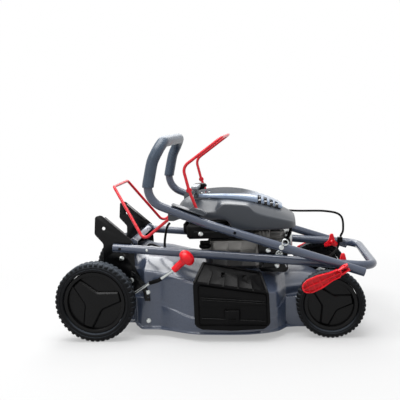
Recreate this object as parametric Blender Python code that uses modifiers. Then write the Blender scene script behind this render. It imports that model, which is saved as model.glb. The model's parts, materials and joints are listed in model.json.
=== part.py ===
"""Lawn mower with a petrol engine, folded for transport, as separate sub-parts.

Metres, +Z up. +X is the mower's front, -Y its right-hand side, which holds the side discharge.
Every sub-part is modelled about the rear axle's line on the ground, and the empty named
rear_axle_datum then carries all of them to the middle of the mower's box.
"""

import math

import bmesh
import bpy
from mathutils import Matrix, Vector

# Driving dimensions
WHEELBASE = 0.715
REAR_RADIUS = 0.1226
FRONT_RADIUS = 0.1025
REAR_OUTER_Y = 0.280
FRONT_OUTER_Y = 0.252
REAR_TYRE_WIDTH = 0.050
FRONT_TYRE_WIDTH = 0.045
DATUM_X = -0.372
TUBE_R = 0.0125
TUBE_WALL = 0.0016
LOWER_LEG_Y = 0.190
UPPER_LEG_Y = 0.2165
BRACKET_Y = 0.1750
BRACKET_THICK = 0.003
WIRE_R = 0.004
GAP = 0.0004
CRANK_DX = 0.052
CRANK_DZ = -0.0120
DECK_SHEET = 0.002
LIP_Z = 0.025

# Places that several sub-parts share, as (x, z) from the rear axle and the ground
REAR_AXLE = (0.0, REAR_RADIUS)
FRONT_AXLE = (WHEELBASE, FRONT_RADIUS)
REAR_CRANK = (REAR_AXLE[0] + CRANK_DX, REAR_AXLE[1] + CRANK_DZ)
FRONT_CRANK = (FRONT_AXLE[0] + CRANK_DX, FRONT_AXLE[1] + CRANK_DZ)
HANDLE_PIVOT = (0.071, 0.274)
CAM_BOLT = (0.760, 0.2125)
CRANKSHAFT = (0.425, 0.0)
BRAKE_PIVOT = (0.322, 0.3785)
DRIVE_PIVOT = (0.236, 0.3690)
DISCHARGE_HINGE = ((0.322, 0.1715), (0.524, 0.1420))
DISCHARGE_HINGE_Y = -0.2790
REAR_FLAP_HINGE = (0.104, 0.2830)

BLACK_PLASTIC = ("black_plastic", (0.012, 0.012, 0.014), 0.45, 0.0)
BLACK_STEEL = ("black_steel", (0.008, 0.008, 0.009), 0.35, 0.6)
GREY_PAINT = ("grey_paint", (0.085, 0.095, 0.125), 0.32, 0.7)
RED_PLASTIC = ("red_plastic", (0.70, 0.012, 0.022), 0.35, 0.0)
RED_PAINT = ("red_paint", (0.66, 0.014, 0.020), 0.32, 0.2)
RUBBER = ("tyre_rubber", (0.016, 0.017, 0.018), 0.75, 0.0)
FOAM = ("foam", (0.020, 0.022, 0.026), 0.80, 0.0)
ALUMINIUM = ("cast_aluminium", (0.55, 0.55, 0.54), 0.38, 0.9)
ZINC = ("zinc_steel", (0.60, 0.61, 0.62), 0.28, 1.0)
STEEL = ("blade_steel", (0.28, 0.28, 0.29), 0.40, 1.0)
SHROUD = ("shroud_plastic", (0.035, 0.038, 0.044), 0.40, 0.0)
COVER = ("cover_plastic", (0.10, 0.115, 0.15), 0.30, 0.3)

for old in list(bpy.data.objects):
    bpy.data.objects.remove(old, do_unlink=True)

MOWER = bpy.data.collections.new("lawn_mower")
HELPERS = bpy.data.collections.new("cutters")
bpy.context.scene.collection.children.link(MOWER)
bpy.context.scene.collection.children.link(HELPERS)
HELPERS.hide_render = True


# Helpers


def material_of(spec):
    name, colour, rough, metal = spec
    made = bpy.data.materials.get(name)
    if made is None:
        made = bpy.data.materials.new(name)
        made.use_nodes = True
        shader = made.node_tree.nodes["Principled BSDF"]
        shader.inputs["Base Color"].default_value = (*colour, 1)
        shader.inputs["Roughness"].default_value = rough
        shader.inputs["Metallic"].default_value = metal
        made.diffuse_color = (*colour, 1)
    return made


def empty(name, place, parent=None):
    made = bpy.data.objects.new(name, None)
    made.location = place
    made.empty_display_size = 0.03
    made.parent = parent
    MOWER.objects.link(made)
    return made


DATUM = empty("rear_axle_datum", (DATUM_X, 0, 0))


def keep(made, spec, pivot=None):
    """Files a finished object under its material and its parent empty, without moving it."""
    made.data.shade_smooth()
    made.data.set_sharp_from_angle(angle=math.radians(35))
    made.data.materials.clear()
    made.data.materials.append(material_of(spec))
    MOWER.objects.link(made)
    made.parent = pivot or DATUM
    if pivot:
        made.matrix_parent_inverse = Matrix.Translation(-pivot.location)
    return made


def helper(made):
    made.hide_render = True
    made.display_type = "WIRE"
    made.parent = DATUM
    HELPERS.objects.link(made)
    return made


def mesh_object(name, bm):
    bmesh.ops.recalc_face_normals(bm, faces=bm.faces)
    data = bpy.data.meshes.new(name)
    bm.to_mesh(data)
    bm.free()
    return bpy.data.objects.new(name, data)


def box(name, low, high, bevel=0.0, segments=1):
    """An upright box between two corners, with its edges rounded."""
    bm = bmesh.new()
    bmesh.ops.create_cube(bm, size=1)
    size = Vector(high) - Vector(low)
    bmesh.ops.scale(bm, vec=size, verts=bm.verts)
    bmesh.ops.translate(bm, vec=(Vector(high) + Vector(low)) / 2, verts=bm.verts)
    if bevel:
        bmesh.ops.bevel(bm, geom=bm.edges, offset=bevel, segments=segments, affect="EDGES", profile=0.6)
    return mesh_object(name, bm)


def rod(name, start, end, radius, sides=16, end_radius=None):
    """A cylinder or cone from one point to another."""
    bm = bmesh.new()
    start, end = Vector(start), Vector(end)
    bmesh.ops.create_cone(bm, cap_ends=True, segments=sides, radius1=radius,
                          radius2=radius if end_radius is None else end_radius, depth=(end - start).length)
    turn = (end - start).to_track_quat("Z", "Y").to_matrix().to_4x4()
    bmesh.ops.transform(bm, matrix=Matrix.Translation((start + end) / 2) @ turn, verts=bm.verts)
    return mesh_object(name, bm)


def filleted(points, radii, arc_step=math.radians(15)):
    """The path through the points, each inner corner replaced by an arc of its radius."""
    points = [Vector(p) for p in points]
    path = [points[0]]
    for before, corner, after, radius in zip(points, points[1:], points[2:], radii):
        back, on = (before - corner).normalized(), (after - corner).normalized()
        turn = math.pi - back.angle(on)
        if radius == 0 or turn < 1e-3:
            path.append(corner)
            continue
        reach = radius * math.tan(turn / 2)
        centre = corner + (back + on).normalized() * (radius / math.cos(turn / 2))
        first = corner + back * reach - centre
        axis = first.cross(corner + on * reach - centre).normalized()
        count = max(1, round(turn / arc_step))
        path += [centre + Matrix.Rotation(turn * i / count, 3, axis) @ first for i in range(count + 1)]
    return path + [points[-1]]


def smooth_run(points, spacing):
    """Points about the given spacing apart on a smooth curve through the route's own points."""
    points = [Vector(p) for p in points]
    ends = [2 * points[0] - points[1], *points, 2 * points[-1] - points[-2]]
    run = [points[0]]
    for before, start, end, after in zip(ends, ends[1:], ends[2:], ends[3:]):
        count = max(1, round((end - start).length / spacing))
        for i in range(1, count + 1):
            t = i / count
            bend = 2 * before - 5 * start + 4 * end - after
            twist = 3 * start - before - 3 * end + after
            run.append(0.5 * (2 * start + (end - before) * t + bend * t ** 2 + twist * t ** 3))
    return run


def wire(name, path, radius, resolution=2, caps=True):
    """A curve object that sweeps a circle along the path."""
    data = bpy.data.curves.new(name, "CURVE")
    data.dimensions = "3D"
    data.bevel_depth = radius
    data.bevel_resolution = resolution
    data.use_fill_caps = caps
    line = data.splines.new("POLY")
    line.points.add(len(path) - 1)
    for point, place in zip(line.points, path):
        point.co = (*place, 1)
    return bpy.data.objects.new(name, data)


def as_mesh(made):
    """The evaluated mesh of an object, as a new object of the same name."""
    name = made.name
    bpy.context.scene.collection.objects.link(made)
    bpy.context.view_layer.update()
    data = bpy.data.meshes.new_from_object(made.evaluated_get(bpy.context.evaluated_depsgraph_get()))
    place = made.matrix_world.copy()
    bpy.data.objects.remove(made)
    bm = bmesh.new()
    bm.from_mesh(data)
    bmesh.ops.remove_doubles(bm, verts=bm.verts, dist=1e-6)
    bmesh.ops.transform(bm, matrix=place, verts=bm.verts)
    return mesh_object(name, bm)


def pipe(name, path, radius, wall, resolution=2):
    """A hollow tube along the path, open at both ends."""
    made = as_mesh(wire(name, path, radius, resolution, caps=False))
    made.modifiers.new("wall", "SOLIDIFY").thickness = wall
    made.modifiers["wall"].offset = -1
    return made


def plate(name, outlines, side_y, thick):
    """A flat plate in the XZ plane about side_y. The first outline is its edge and the others are holes."""
    data = bpy.data.curves.new(name, "CURVE")
    data.dimensions = "2D"
    data.fill_mode = "BOTH"
    data.extrude = thick / 2
    for outline in outlines:
        line = data.splines.new("POLY")
        line.points.add(len(outline) - 1)
        for point, place in zip(line.points, outline):
            point.co = (place[0], place[1], 0, 1)
        line.use_cyclic_u = True
    made = bpy.data.objects.new(name, data)
    made.rotation_euler = (math.pi / 2, 0, 0)
    made.location = (0, side_y, 0)
    return as_mesh(made)


def rounded(corners, radius, arc_step=math.radians(45)):
    """A closed outline with every corner rounded by the same radius."""
    flat = [Vector((x, z, 0)) for x, z in corners]
    loop = [flat[-1], *flat, flat[0]]
    path = filleted(loop, [radius] * len(flat), arc_step)[1:-1]
    return [(p.x, p.y) for p in path]


def grown(outline, by=0.0004):
    """The outline with every point moved outwards from the middle."""
    middle = sum((Vector(p) for p in outline), Vector((0, 0))) / len(outline)
    return [tuple(Vector(p) + (Vector(p) - middle).normalized() * by) for p in outline]


def ring(centre, radius, count=12, start=0.0):
    turn = 2 * math.pi / count
    return [(centre[0] + radius * math.cos(start + i * turn),
             centre[1] + radius * math.sin(start + i * turn))
            for i in range(count)]


def turned(name, profile, place, steps=32, axis="Y"):
    """A solid of revolution: (radius, height) points, closed on the axis, turned by a Screw modifier."""
    bm = bmesh.new()
    ends = [bm.verts.new((r, 0, h)) for r, h in profile]
    for a, b in zip(ends, ends[1:]):
        bm.edges.new((a, b))
    data = bpy.data.meshes.new(name)
    bm.to_mesh(data)
    bm.free()
    made = bpy.data.objects.new(name, data)
    screw = made.modifiers.new("turn", "SCREW")
    screw.steps = screw.render_steps = steps
    screw.use_merge_vertices = True
    screw.merge_threshold = 1e-5
    screw.use_normal_calculate = True
    made.location = place
    made.rotation_euler = {"Y": (math.pi / 2, 0, 0), "-Y": (-math.pi / 2, 0, 0), "Z": (0, 0, 0),
                           "X": (0, math.pi / 2, 0)}[axis]
    return as_mesh(made)


def fused(base, others=(), cuts=()):
    """Joins helpers to the base and cuts others from it, with exact Booleans."""
    for operation, tools in (("UNION", others), ("DIFFERENCE", cuts)):
        for tool in tools:
            step = base.modifiers.new(tool.name, "BOOLEAN")
            step.operation = operation
            step.solver = "EXACT"
            step.object = helper(tool)
    return base


def lofted(name, sections, thick, close_start=True, close_end=True, even=True):
    """A sheet through sections of equal point counts, made solid inwards."""
    bm = bmesh.new()
    rows = [[bm.verts.new(p) for p in section] for section in sections]
    for row, after in zip(rows, rows[1:]):
        for i in range(len(row) - 1):
            corners = [row[i], row[i + 1], after[i + 1], after[i]]
            kept = [c for n, c in enumerate(corners) if (c.co - corners[n - 1].co).length > 1e-6]
            if len(kept) > 2:
                bm.faces.new(kept)
    if close_start:
        bm.faces.new(rows[0])
    if close_end:
        bm.faces.new(rows[-1])
    bmesh.ops.remove_doubles(bm, verts=bm.verts, dist=1e-5)
    made = mesh_object(name, bm)
    sheet = made.modifiers.new("sheet", "SOLIDIFY")
    sheet.thickness = thick
    sheet.offset = -1
    sheet.use_even_offset = even
    sheet.thickness_clamp = 0.5
    return made


# Wheels

DISC_SHARE = 0.79
TREAD_DEPTH = 0.003
TREAD_EDGE = 0.012
LUGS = 12


def tyre(name, axle, side, radius, outer_y, width, pivot):
    """A solid rubber tyre: a turned band whose tread rings are pushed in and out to make the lugs."""
    inner, shoulder = radius * DISC_SHARE, radius - 0.006
    middle = side * (outer_y - width / 2)
    half = width / 2
    bm = bmesh.new()
    profile = [(inner, -half + 0.001), (shoulder, -half + 0.001), (radius, -half + TREAD_EDGE),
               (radius, 0.0),
               (radius, half - TREAD_EDGE), (shoulder, half - 0.001), (inner, half - 0.001)]
    rows = []
    for i in range(2 * LUGS):
        turn = 2 * math.pi * (i - 0.5) / (2 * LUGS)
        row = []
        for n, (r, y) in enumerate(profile):
            low_side = (i // 2) % 2 == 0
            sunk = n in ((1, 2) if low_side else (4, 5))
            reach = (r - TREAD_DEPTH if sunk else r) / (1 if r == inner else math.cos(math.pi / (2 * LUGS)))
            row.append(bm.verts.new((axle[0] + reach * math.cos(turn), middle + y,
                                     axle[1] + reach * math.sin(turn))))
        rows.append(row)
    for row, after in zip(rows, rows[1:] + rows[:1]):
        for n in range(len(profile)):
            m = (n + 1) % len(profile)
            bm.faces.new((row[n], row[m], after[m], after[n]))
    keep(mesh_object(name, bm), RUBBER, pivot)


def wheel_disc(name, axle, side, radius, outer_y, width, pivot):
    """The black moulded disc: three pockets leave a raised three-armed star on its outer face."""
    rim = radius * DISC_SHARE * math.cos(math.pi / (2 * LUGS)) - GAP
    face, back = outer_y - 0.006, outer_y - width + 0.004
    middle = side * (face + back) / 2
    half = (face - back) / 2
    dish, bead = half - 0.003, half - 0.012
    profile = [(0, -bead), (rim - 0.008, -bead), (rim - 0.006, -half), (rim, -half), (rim, half),
               (rim - 0.011, half), (rim - 0.011, dish), (0, dish)]
    disc = turned(name, profile, (axle[0], middle, axle[1]), 2 * LUGS, "Y" if side < 0 else "-Y")
    boss = rod(f"{name}_boss", (axle[0], side * back, axle[1]), (axle[0], side * (face - 0.006), axle[1]),
               0.022, 10)
    pockets = []
    arm, hub, edge = radius * 0.125, radius * 0.20, rim - 0.017
    for k in range(3):
        turn = math.radians(72 + 120 * k)
        spread = math.pi / 3 - math.asin(arm / edge)
        arc = [(edge * math.cos(a), edge * math.sin(a)) for a in (turn - spread, turn, turn + spread)]
        tip = (hub * math.cos(turn), hub * math.sin(turn))
        outline = [(axle[0] + x, axle[1] + z) for x, z in [tip, *arc]]
        pockets.append(plate(f"{name}_pocket_{k}", [outline], side * (face - 0.001), 0.012))
    bore = rod(f"{name}_bore", (axle[0], side * 0.15, axle[1]), (axle[0], side * 0.32, axle[1]), 0.0068, 12)
    keep(fused(disc, [boss], [*pockets, bore]), BLACK_PLASTIC, pivot)


WHEELS = {
    "rear_right": (REAR_AXLE, -1, REAR_RADIUS, REAR_OUTER_Y, REAR_TYRE_WIDTH),
    "rear_left": (REAR_AXLE, 1, REAR_RADIUS, REAR_OUTER_Y, REAR_TYRE_WIDTH),
    "front_right": (FRONT_AXLE, -1, FRONT_RADIUS, FRONT_OUTER_Y, FRONT_TYRE_WIDTH),
    "front_left": (FRONT_AXLE, 1, FRONT_RADIUS, FRONT_OUTER_Y, FRONT_TYRE_WIDTH),
}


def wheels():
    for corner, (axle, side, radius, outer_y, width) in WHEELS.items():
        hub = empty(f"{corner}_wheel_axis", (axle[0], side * (outer_y - width / 2), axle[1]), DATUM)
        tyre(f"{corner}_tyre", axle, side, radius, outer_y, width, hub)
        wheel_disc(f"{corner}_wheel_disc", axle, side, radius, outer_y, width, hub)


# Axles and height adjustment

CRANK_ARM_Y = 0.2035
CRANK_ARM_THICK = 0.004
LINK_EYE = (-0.0195, -0.0279)
LINK_TAB_Y = 0.1450
LINK_R = 0.0035


def crank_axle(name, crank, axle, arm_y, end_y, bar_r, pivot, full_shaft):
    """A cross bar with an arm at each end, the wheels' axle on the arms and a tab for the height link."""
    bar = rod(name, (crank[0], -arm_y - 0.0033, crank[1]), (crank[0], arm_y + 0.0033, crank[1]), bar_r, 10)
    joined = []
    for side in (-1, 1):
        across = Vector((axle[0] - crank[0], axle[1] - crank[1]))
        away = Vector((-across.y, across.x)).normalized() * 0.012
        corners = [Vector(crank) + away - across * 0.25, Vector(crank) - away - across * 0.25,
                   Vector(axle) - away + across * 0.22, Vector(axle) + away + across * 0.22]
        outline = rounded(corners, 0.010, math.radians(90))
        joined.append(plate(f"{name}_arm_{side}", [outline], side * arm_y, CRANK_ARM_THICK))
        if not full_shaft:
            joined.append(rod(f"{name}_stub_{side}", (axle[0], side * (arm_y - 0.001), axle[1]),
                              (axle[0], side * end_y, axle[1]), 0.0062, 10))
    if full_shaft:
        joined.append(rod(f"{name}_shaft", (axle[0], -end_y, axle[1]), (axle[0], end_y, axle[1]), 0.0062,
                          10))
    along = Vector(LINK_EYE)
    across = Vector((-along.y, along.x)).normalized()
    foot, eye = Vector(crank), Vector(crank) + along
    tab = [foot - along * 0.3 + across * 0.011, foot - along * 0.3 - across * 0.011,
           eye + along * 0.24 - across * 0.009, eye + along * 0.24 + across * 0.009]
    outline = rounded(tab, 0.004, math.radians(90))
    joined.append(plate(f"{name}_tab", [outline, ring(eye, LINK_R + 0.0007, 8)], LINK_TAB_Y,
                        CRANK_ARM_THICK))
    keep(fused(bar, joined), ZINC, pivot)


def height_adjustment():
    rear = empty("height_lever_axis", (REAR_CRANK[0], 0, REAR_CRANK[1]), DATUM)
    front = empty("front_crank_axis", (FRONT_CRANK[0], 0, FRONT_CRANK[1]), DATUM)
    crank_axle("rear_crank_axle", REAR_CRANK, REAR_AXLE, CRANK_ARM_Y, 0.264, 0.008, rear, True)
    crank_axle("front_crank_axle", FRONT_CRANK, FRONT_AXLE, 0.1935, 0.238, 0.008, front, False)

    foot = (REAR_CRANK[0], REAR_CRANK[1])
    route = [(foot[0], -0.2115, foot[1]), (0.118, -0.2200, 0.139), (0.166, -0.2300, 0.171),
             (0.198, -0.2480, 0.184), (0.246, -0.2560, 0.2160), (0.286, -0.2560, 0.2520)]
    lever = as_mesh(wire("height_lever", filleted(route, [0.03, 0.02, 0.02, 0.03]), 0.0045, 2))
    boss = rod("lever_boss", (foot[0], -CRANK_ARM_Y - 0.0037, foot[1]), (foot[0], -0.2180, foot[1]), 0.013,
               16)
    keep(fused(lever, [boss]), ZINC, rear)

    top, low = Vector((0.2980, -0.2560, 0.2628)), Vector((0.2530, -0.2560, 0.2223))
    along = (top - low).normalized()
    profile = [(0, -0.056), (0.0095, -0.056), (0.0110, -0.052), (0.0110, -0.014), (0.0215, -0.010),
               (0.0262, -0.003), (0.0255, 0.006), (0.0205, 0.0135), (0.0110, 0.0178), (0, 0.019)]
    knob = turned("height_knob", profile, (0, 0, 0), 14, "Z")
    knob.data.transform(Matrix.Translation(top) @ along.to_track_quat("Z", "Y").to_matrix().to_4x4())
    grip_hole = as_mesh(wire("knob_hole", [route[-2], route[-1], (0.2862, -0.2560, 0.2522)], 0.0049, 2))
    keep(fused(knob, cuts=[grip_hole]), RED_PLASTIC, rear)

    notches = [(REAR_CRANK[0] + 0.104 * math.cos(math.radians(a)),
                REAR_CRANK[1] + 0.104 * math.sin(math.radians(a)))
               for a in (6, 18, 30, 42, 54)]
    arc = [(REAR_CRANK[0] + r * math.cos(math.radians(a)), REAR_CRANK[1] + r * math.sin(math.radians(a)))
           for r, angles in ((0.111, range(0, 61, 15)), (0.094, range(60, -1, -15))) for a in angles]
    keep(plate("height_quadrant", [arc, *[ring(p, 0.0030, 6) for p in notches]], -0.2143, 0.0016),
         BLACK_STEEL)

    rear_eye = (REAR_CRANK[0] + LINK_EYE[0], REAR_CRANK[1] + LINK_EYE[1])
    front_x = FRONT_CRANK[0] + LINK_EYE[0]
    link = empty("height_link_axis", (rear_eye[0], 0, rear_eye[1]), DATUM)
    plan = [(rear_eye[0], 0.1390), (rear_eye[0], 0.1530), (0.190, 0.1550), (0.260, 0.2050),
            (0.355, 0.2270), (0.455, 0.2270), (0.505, 0.2165), (0.560, 0.1830), (0.620, 0.1640),
            (front_x, 0.1530), (front_x, 0.1390)]
    fall = (FRONT_CRANK[1] - REAR_CRANK[1]) / WHEELBASE
    route = [(x, y, rear_eye[1] + fall * (x - rear_eye[0])) for x, y in plan]
    radii = [0.006, 0.03, 0.03, 0.06, 0.06, 0.06, 0.03, 0.03, 0.006]
    keep(as_mesh(wire("height_link", filleted(route, radii, math.radians(45)), LINK_R, 1)), ZINC, link)


# Deck

# x, near half width, far half width, step height, shoulder height, crown height
DECK_STATIONS = [
    (0.036, 0.172, 0.172, 0.120, 0.205, 0.226), (0.084, 0.172, 0.172, 0.120, 0.212, 0.248),
    (0.128, 0.172, 0.172, 0.120, 0.212, 0.257), (0.146, 0.211, 0.211, 0.120, 0.209, 0.256),
    (0.190, 0.213, 0.213, 0.110, 0.202, 0.246), (0.235, 0.232, 0.222, 0.100, 0.194, 0.226),
    (0.285, 0.256, 0.230, 0.090, 0.184, 0.191), (0.324, 0.266, 0.235, 0.086, 0.177, 0.183),
    (0.410, 0.270, 0.238, 0.085, 0.163, 0.183), (0.470, 0.267, 0.236, 0.085, 0.154, 0.183),
    (0.525, 0.252, 0.230, 0.085, 0.146, 0.180), (0.560, 0.232, 0.218, 0.090, 0.142, 0.172),
    (0.583, 0.196, 0.196, 0.112, 0.141, 0.166), (0.640, 0.186, 0.186, 0.112, 0.140, 0.161),
    (0.690, 0.186, 0.186, 0.112, 0.131, 0.146),
    (0.715, 0.186, 0.186, 0.112, 0.117, 0.119), (0.795, 0.182, 0.182, 0.108, 0.1085, 0.1095),
]
UPPER_WALL = {0.583: 0.172, 0.640: 0.140, 0.690: 0.085, 0.715: 0.060, 0.795: 0.050}
CROWN_SHARE = 0.62
LIP_FLARE = 0.010


def deck_section(station):
    x, near, far, step, shoulder, crown = station
    lip = LIP_Z + (0.010 if x < 0.13 else 0)

    def side(half):
        inner = UPPER_WALL.get(x, half)
        return [(half + LIP_FLARE, lip - 0.004), (half, lip + 0.004), (half, step),
                (inner - 0.0006, step + 0.0008), (inner - 0.0008, shoulder - 0.005),
                (inner - 0.008, shoulder),
                (inner * CROWN_SHARE, crown - 0.004), (inner * CROWN_SHARE - 0.02, crown)]

    right, left = side(near), side(far)
    return [(x, -y, z) for y, z in right] + [(x, y, z) for y, z in reversed(left)]


def deck():
    """The pressed steel deck: one sheet lofted along the mower, with a step over the front axle."""
    sections = [deck_section(station) for station in DECK_STATIONS]
    sheet = lofted("deck_shell", sections, DECK_SHEET, close_start=False, even=False)
    window = plate("discharge_window", [rounded([(0.3260, 0.1605), (0.3260, 0.0600), (0.5180, 0.0600),
                                                 (0.5180, 0.1365)], 0.011)],
                   -0.262, 0.060)
    cuts = [window]
    for crank, radius in ((REAR_CRANK, 0.0095), (FRONT_CRANK, 0.0095)):
        cuts.append(rod("crank_hole", (crank[0], -0.30, crank[1]), (crank[0], 0.30, crank[1]), radius, 10))
    cuts.append(rod("crank_bore", (CRANKSHAFT[0], 0, 0.10), (CRANKSHAFT[0], 0, 0.22), 0.030, 12))
    chute = [(0.150, 0.055), (0.152, 0.110), (0.128, 0.142), (0.080, 0.158), (0.036, 0.164)]
    path = filleted([(x, 0, z) for x, z in chute], [0.03, 0.03, 0.03], math.radians(40))
    rows = [[(p.x, y, p.z) for y in (-0.1712, 0.1712)] for p in path]
    baffle = as_mesh(lofted("rear_chute_floor", rows, 0.002, False, False))
    cuts.append(box("belt_slot", (0.135, 0.015, 0.058), (0.165, 0.085, 0.108)))
    cuts.append(box("link_slot", (0.135, 0.1455, 0.062), (0.165, 0.1600, 0.096)))
    keep(fused(sheet, [baffle], cuts), GREY_PAINT)


BRACKET_OUTLINE = [(-0.009, 0.374), (0.011, 0.379), (0.109, 0.292), (0.112, 0.205), (0.1265, 0.180),
                   (0.1265, 0.133), (0.020, 0.133), (0.010, 0.238), (0.013, 0.287), (-0.014, 0.318)]
BRACKET_HOLE = (0.017, 0.336)


def brackets():
    """The two black plates that carry the handle, each with a turned-in flange on its slanting edge."""
    for name, side in (("handle_bracket_right", -1), ("handle_bracket_left", 1)):
        holes = [ring(BRACKET_HOLE, 0.0055, 8), ring(HANDLE_PIVOT, 0.0048, 10)]
        holes.append(ring(REAR_FLAP_HINGE, 0.0036, 8, 0.1))
        sheet = plate(name, [rounded(BRACKET_OUTLINE, 0.008), *holes], side * BRACKET_Y, BRACKET_THICK)
        top, low = Vector((0.020, 0.3700)), Vector((0.086, 0.3110))
        inward = Vector((top.y - low.y, low.x - top.x)).normalized() * -0.004
        flange_outline = [top, low, low + inward, top + inward]
        flange = plate(f"{name}_flange", [[(p.x, p.y) for p in flange_outline]], side * (BRACKET_Y - 0.010),
                       0.020)
        bolts = [rod(f"{name}_bolt_{n}", (x, side * (BRACKET_Y + 0.001), z), (x, side * (BRACKET_Y + 0.006),
                                                                              z), 0.006, 6)
                 for n, (x, z) in enumerate([(0.083, 0.242), (0.111, 0.176)])]
        keep(fused(sheet, [flange, *bolts]), BLACK_STEEL)
        pin = rod(f"handle_pivot_pin_{'right' if side < 0 else 'left'}", (HANDLE_PIVOT[0], side * 0.166,
                                                                          HANDLE_PIVOT[1]),
                  (HANDLE_PIVOT[0], side * 0.2040, HANDLE_PIVOT[1]), 0.0040, 10)
        head = rod("pin_head", (HANDLE_PIVOT[0], side * 0.164, HANDLE_PIVOT[1]),
                   (HANDLE_PIVOT[0], side * 0.1730, HANDLE_PIVOT[1]), 0.0075, 6)
        keep(fused(pin, [head]), ZINC)


def rear_flap():
    """The sprung door over the rear outlet, hung on a rod between the two brackets."""
    x, z = REAR_FLAP_HINGE
    axis = empty("rear_flap_axis", (x, 0, z), DATUM)
    hinge_rod = rod("rear_flap_rod", (x, -0.1771, z), (x, 0.1771, z), 0.0030, 8)
    outline = [(x - 0.016, z + 0.006), (x, z + 0.016), (x + 0.014, z + 0.006), (x + 0.012, z - 0.010),
               (x - 0.006, z - 0.012)]
    path = filleted([(x + 0.010, 0, z + 0.001), (x - 0.006, 0, z + 0.012), (x - 0.088, 0, 0.230),
                     (x - 0.128, 0, 0.165)], [0.012, 0.040], math.radians(20))
    rows = [[(p.x, y, p.z) for y in (-0.1530, 0.1530)] for p in path]
    door = as_mesh(lofted("rear_flap", rows, 0.004, False, False))
    ears = [plate(f"rear_flap_ear_{side}", [outline], side * 0.1490, 0.008) for side in (-1, 1)]
    keep(fused(door, [*ears, hinge_rod]), GREY_PAINT, axis)


# Side discharge

FRAME_BACK_Y = -0.2725
FRAME_STEP_Y = -0.2765
FRAME_FACE_Y = -0.2845


def hull(name, points):
    bm = bmesh.new()
    for point in points:
        bm.verts.new(point)
    bmesh.ops.convex_hull(bm, input=bm.verts)
    return mesh_object(name, bm)


def plate_span(name, outlines, y_a, y_b):
    return plate(name, outlines, (y_a + y_b) / 2, abs(y_b - y_a))


def discharge():
    """The black chute frame with its ribbed hood, the sprung flap in it, and the flap's latch."""
    (hx0, hz0), (hx1, hz1) = DISCHARGE_HINGE
    edge = rounded([(0.307, 0.188), (0.308, 0.052), (0.330, 0.040), (0.420, 0.036), (0.515, 0.041),
                    (0.534, 0.056), (0.532, 0.154)], 0.010)
    outer = rounded([(0.3205, 0.181), (0.3205, 0.050), (0.5265, 0.050), (0.5265, 0.1490)], 0.006)
    throat = rounded([(0.332, 0.152), (0.332, 0.068), (0.508, 0.068), (0.508, 0.130)], 0.008)
    collar = rounded([(0.3275, 0.1585), (0.3275, 0.0620), (0.5165, 0.0620), (0.5165, 0.1345)], 0.011)
    frame = plate_span("discharge_frame", [grown(edge, -0.0008), throat], FRAME_BACK_Y, FRAME_STEP_Y)
    parts = [plate_span("frame_border", [edge, outer], FRAME_STEP_Y + 0.001, FRAME_FACE_Y),
             plate_span("frame_collar", [collar, grown(throat, -0.0004)], FRAME_BACK_Y - 0.001, -0.2350)]

    low = [Vector((0.3085, FRAME_FACE_Y + 0.0020, 0.1822)), Vector((0.5305, FRAME_FACE_Y + 0.0020, 0.1486))]
    top = [Vector((0.3330, -0.2220, 0.2290)), Vector((0.5090, -0.2060, 0.1910))]
    inward = Vector((0, 0.0032, -0.0022))
    parts.append(hull("hood", [*low, *top, *[p + inward for p in low + top]]))
    lift = Vector((0, -0.0050, 0.0036))
    across = Vector((0.0019, 0, -0.0003))
    for n, share in enumerate((0.012, 0.20, 0.40, 0.60, 0.80, 0.988)):
        edge_rib = n in (0, 5)
        foot = low[0].lerp(low[1], share)
        head = foot.lerp(top[0].lerp(top[1], share), 1.01 if edge_rib else 0.62)
        corners = [foot + inward * 0.4, head + inward * 0.4, foot + lift, head + lift]
        parts.append(hull(f"hood_rib_{n}",
                          [c + s * across * (1.9 if edge_rib else 1.0) for c in corners for s in (-1, 1)]))
    ends = [top[0].lerp(top[1], share) for share in (0.006, 0.994)]
    ridge = [p + step for p in ends for step in (inward * 0.7, Vector((0, -0.0043, 0.0028)),
                                                 Vector((0, 0.0012, 0.0052)))]
    parts.append(hull("hood_ridge", ridge))
    square_holes = []
    for share, up in ((0.37, 0.62), (0.70, 0.62)):
        middle = low[0].lerp(low[1], share).lerp(top[0].lerp(top[1], share), up)
        square_holes.append(box("hood_hole", middle - Vector((0.006, 0.014, 0.006)),
                                middle + Vector((0.006, 0.014, 0.006))))
    keep(fused(frame, parts, square_holes), BLACK_PLASTIC)

    hinge = empty("discharge_flap_axis", ((hx0 + hx1) / 2, DISCHARGE_HINGE_Y, (hz0 + hz1) / 2), DATUM)
    leaf = [(0.3240, 0.1695), (0.3240, 0.0540), (0.5230, 0.0540), (0.5230, 0.1405)]
    latch_slot = [(0.3995, 0.0640), (0.4435, 0.0640), (0.4435, 0.1060), (0.3995, 0.1060)]
    flap = plate_span("discharge_flap", [rounded(leaf, 0.004), latch_slot], -0.2772, -0.2806)
    ribs = []
    for n, (left, right) in enumerate([(0.1500, 0.1240), (0.1130, 0.1100)]):
        bar = [Vector((0.3250, -0.2803, left)), Vector((0.5220, -0.2803, right))]
        ribs.append(hull(f"flap_rib_{n}", [p + Vector((0, dy, dz)) for p in bar for dy in (0,
                                                                                           -0.0024)
                                           for dz in (-0.0016, 0.0016)]))
    knuckle = [Vector((0.326, DISCHARGE_HINGE_Y, hz0 - 0.0005)),
               Vector((0.520, DISCHARGE_HINGE_Y, hz1 + 0.0005))]
    ribs.append(rod("flap_knuckle", knuckle[0], knuckle[1], 0.0021, 8))
    keep(fused(flap, ribs), BLACK_PLASTIC, hinge)

    catch = box("discharge_latch", (0.4002, -0.2878, 0.0646), (0.4428, -0.2768, 0.0980), 0.0012)
    finger = box("latch_finger", (0.411, -0.2890, 0.0600), (0.432, -0.2820, 0.0740))
    keep(fused(catch, cuts=[finger]), BLACK_PLASTIC, hinge)


# Engine

DECK_TOP = 0.1840
RECOIL = (0.304, -0.075)


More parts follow.
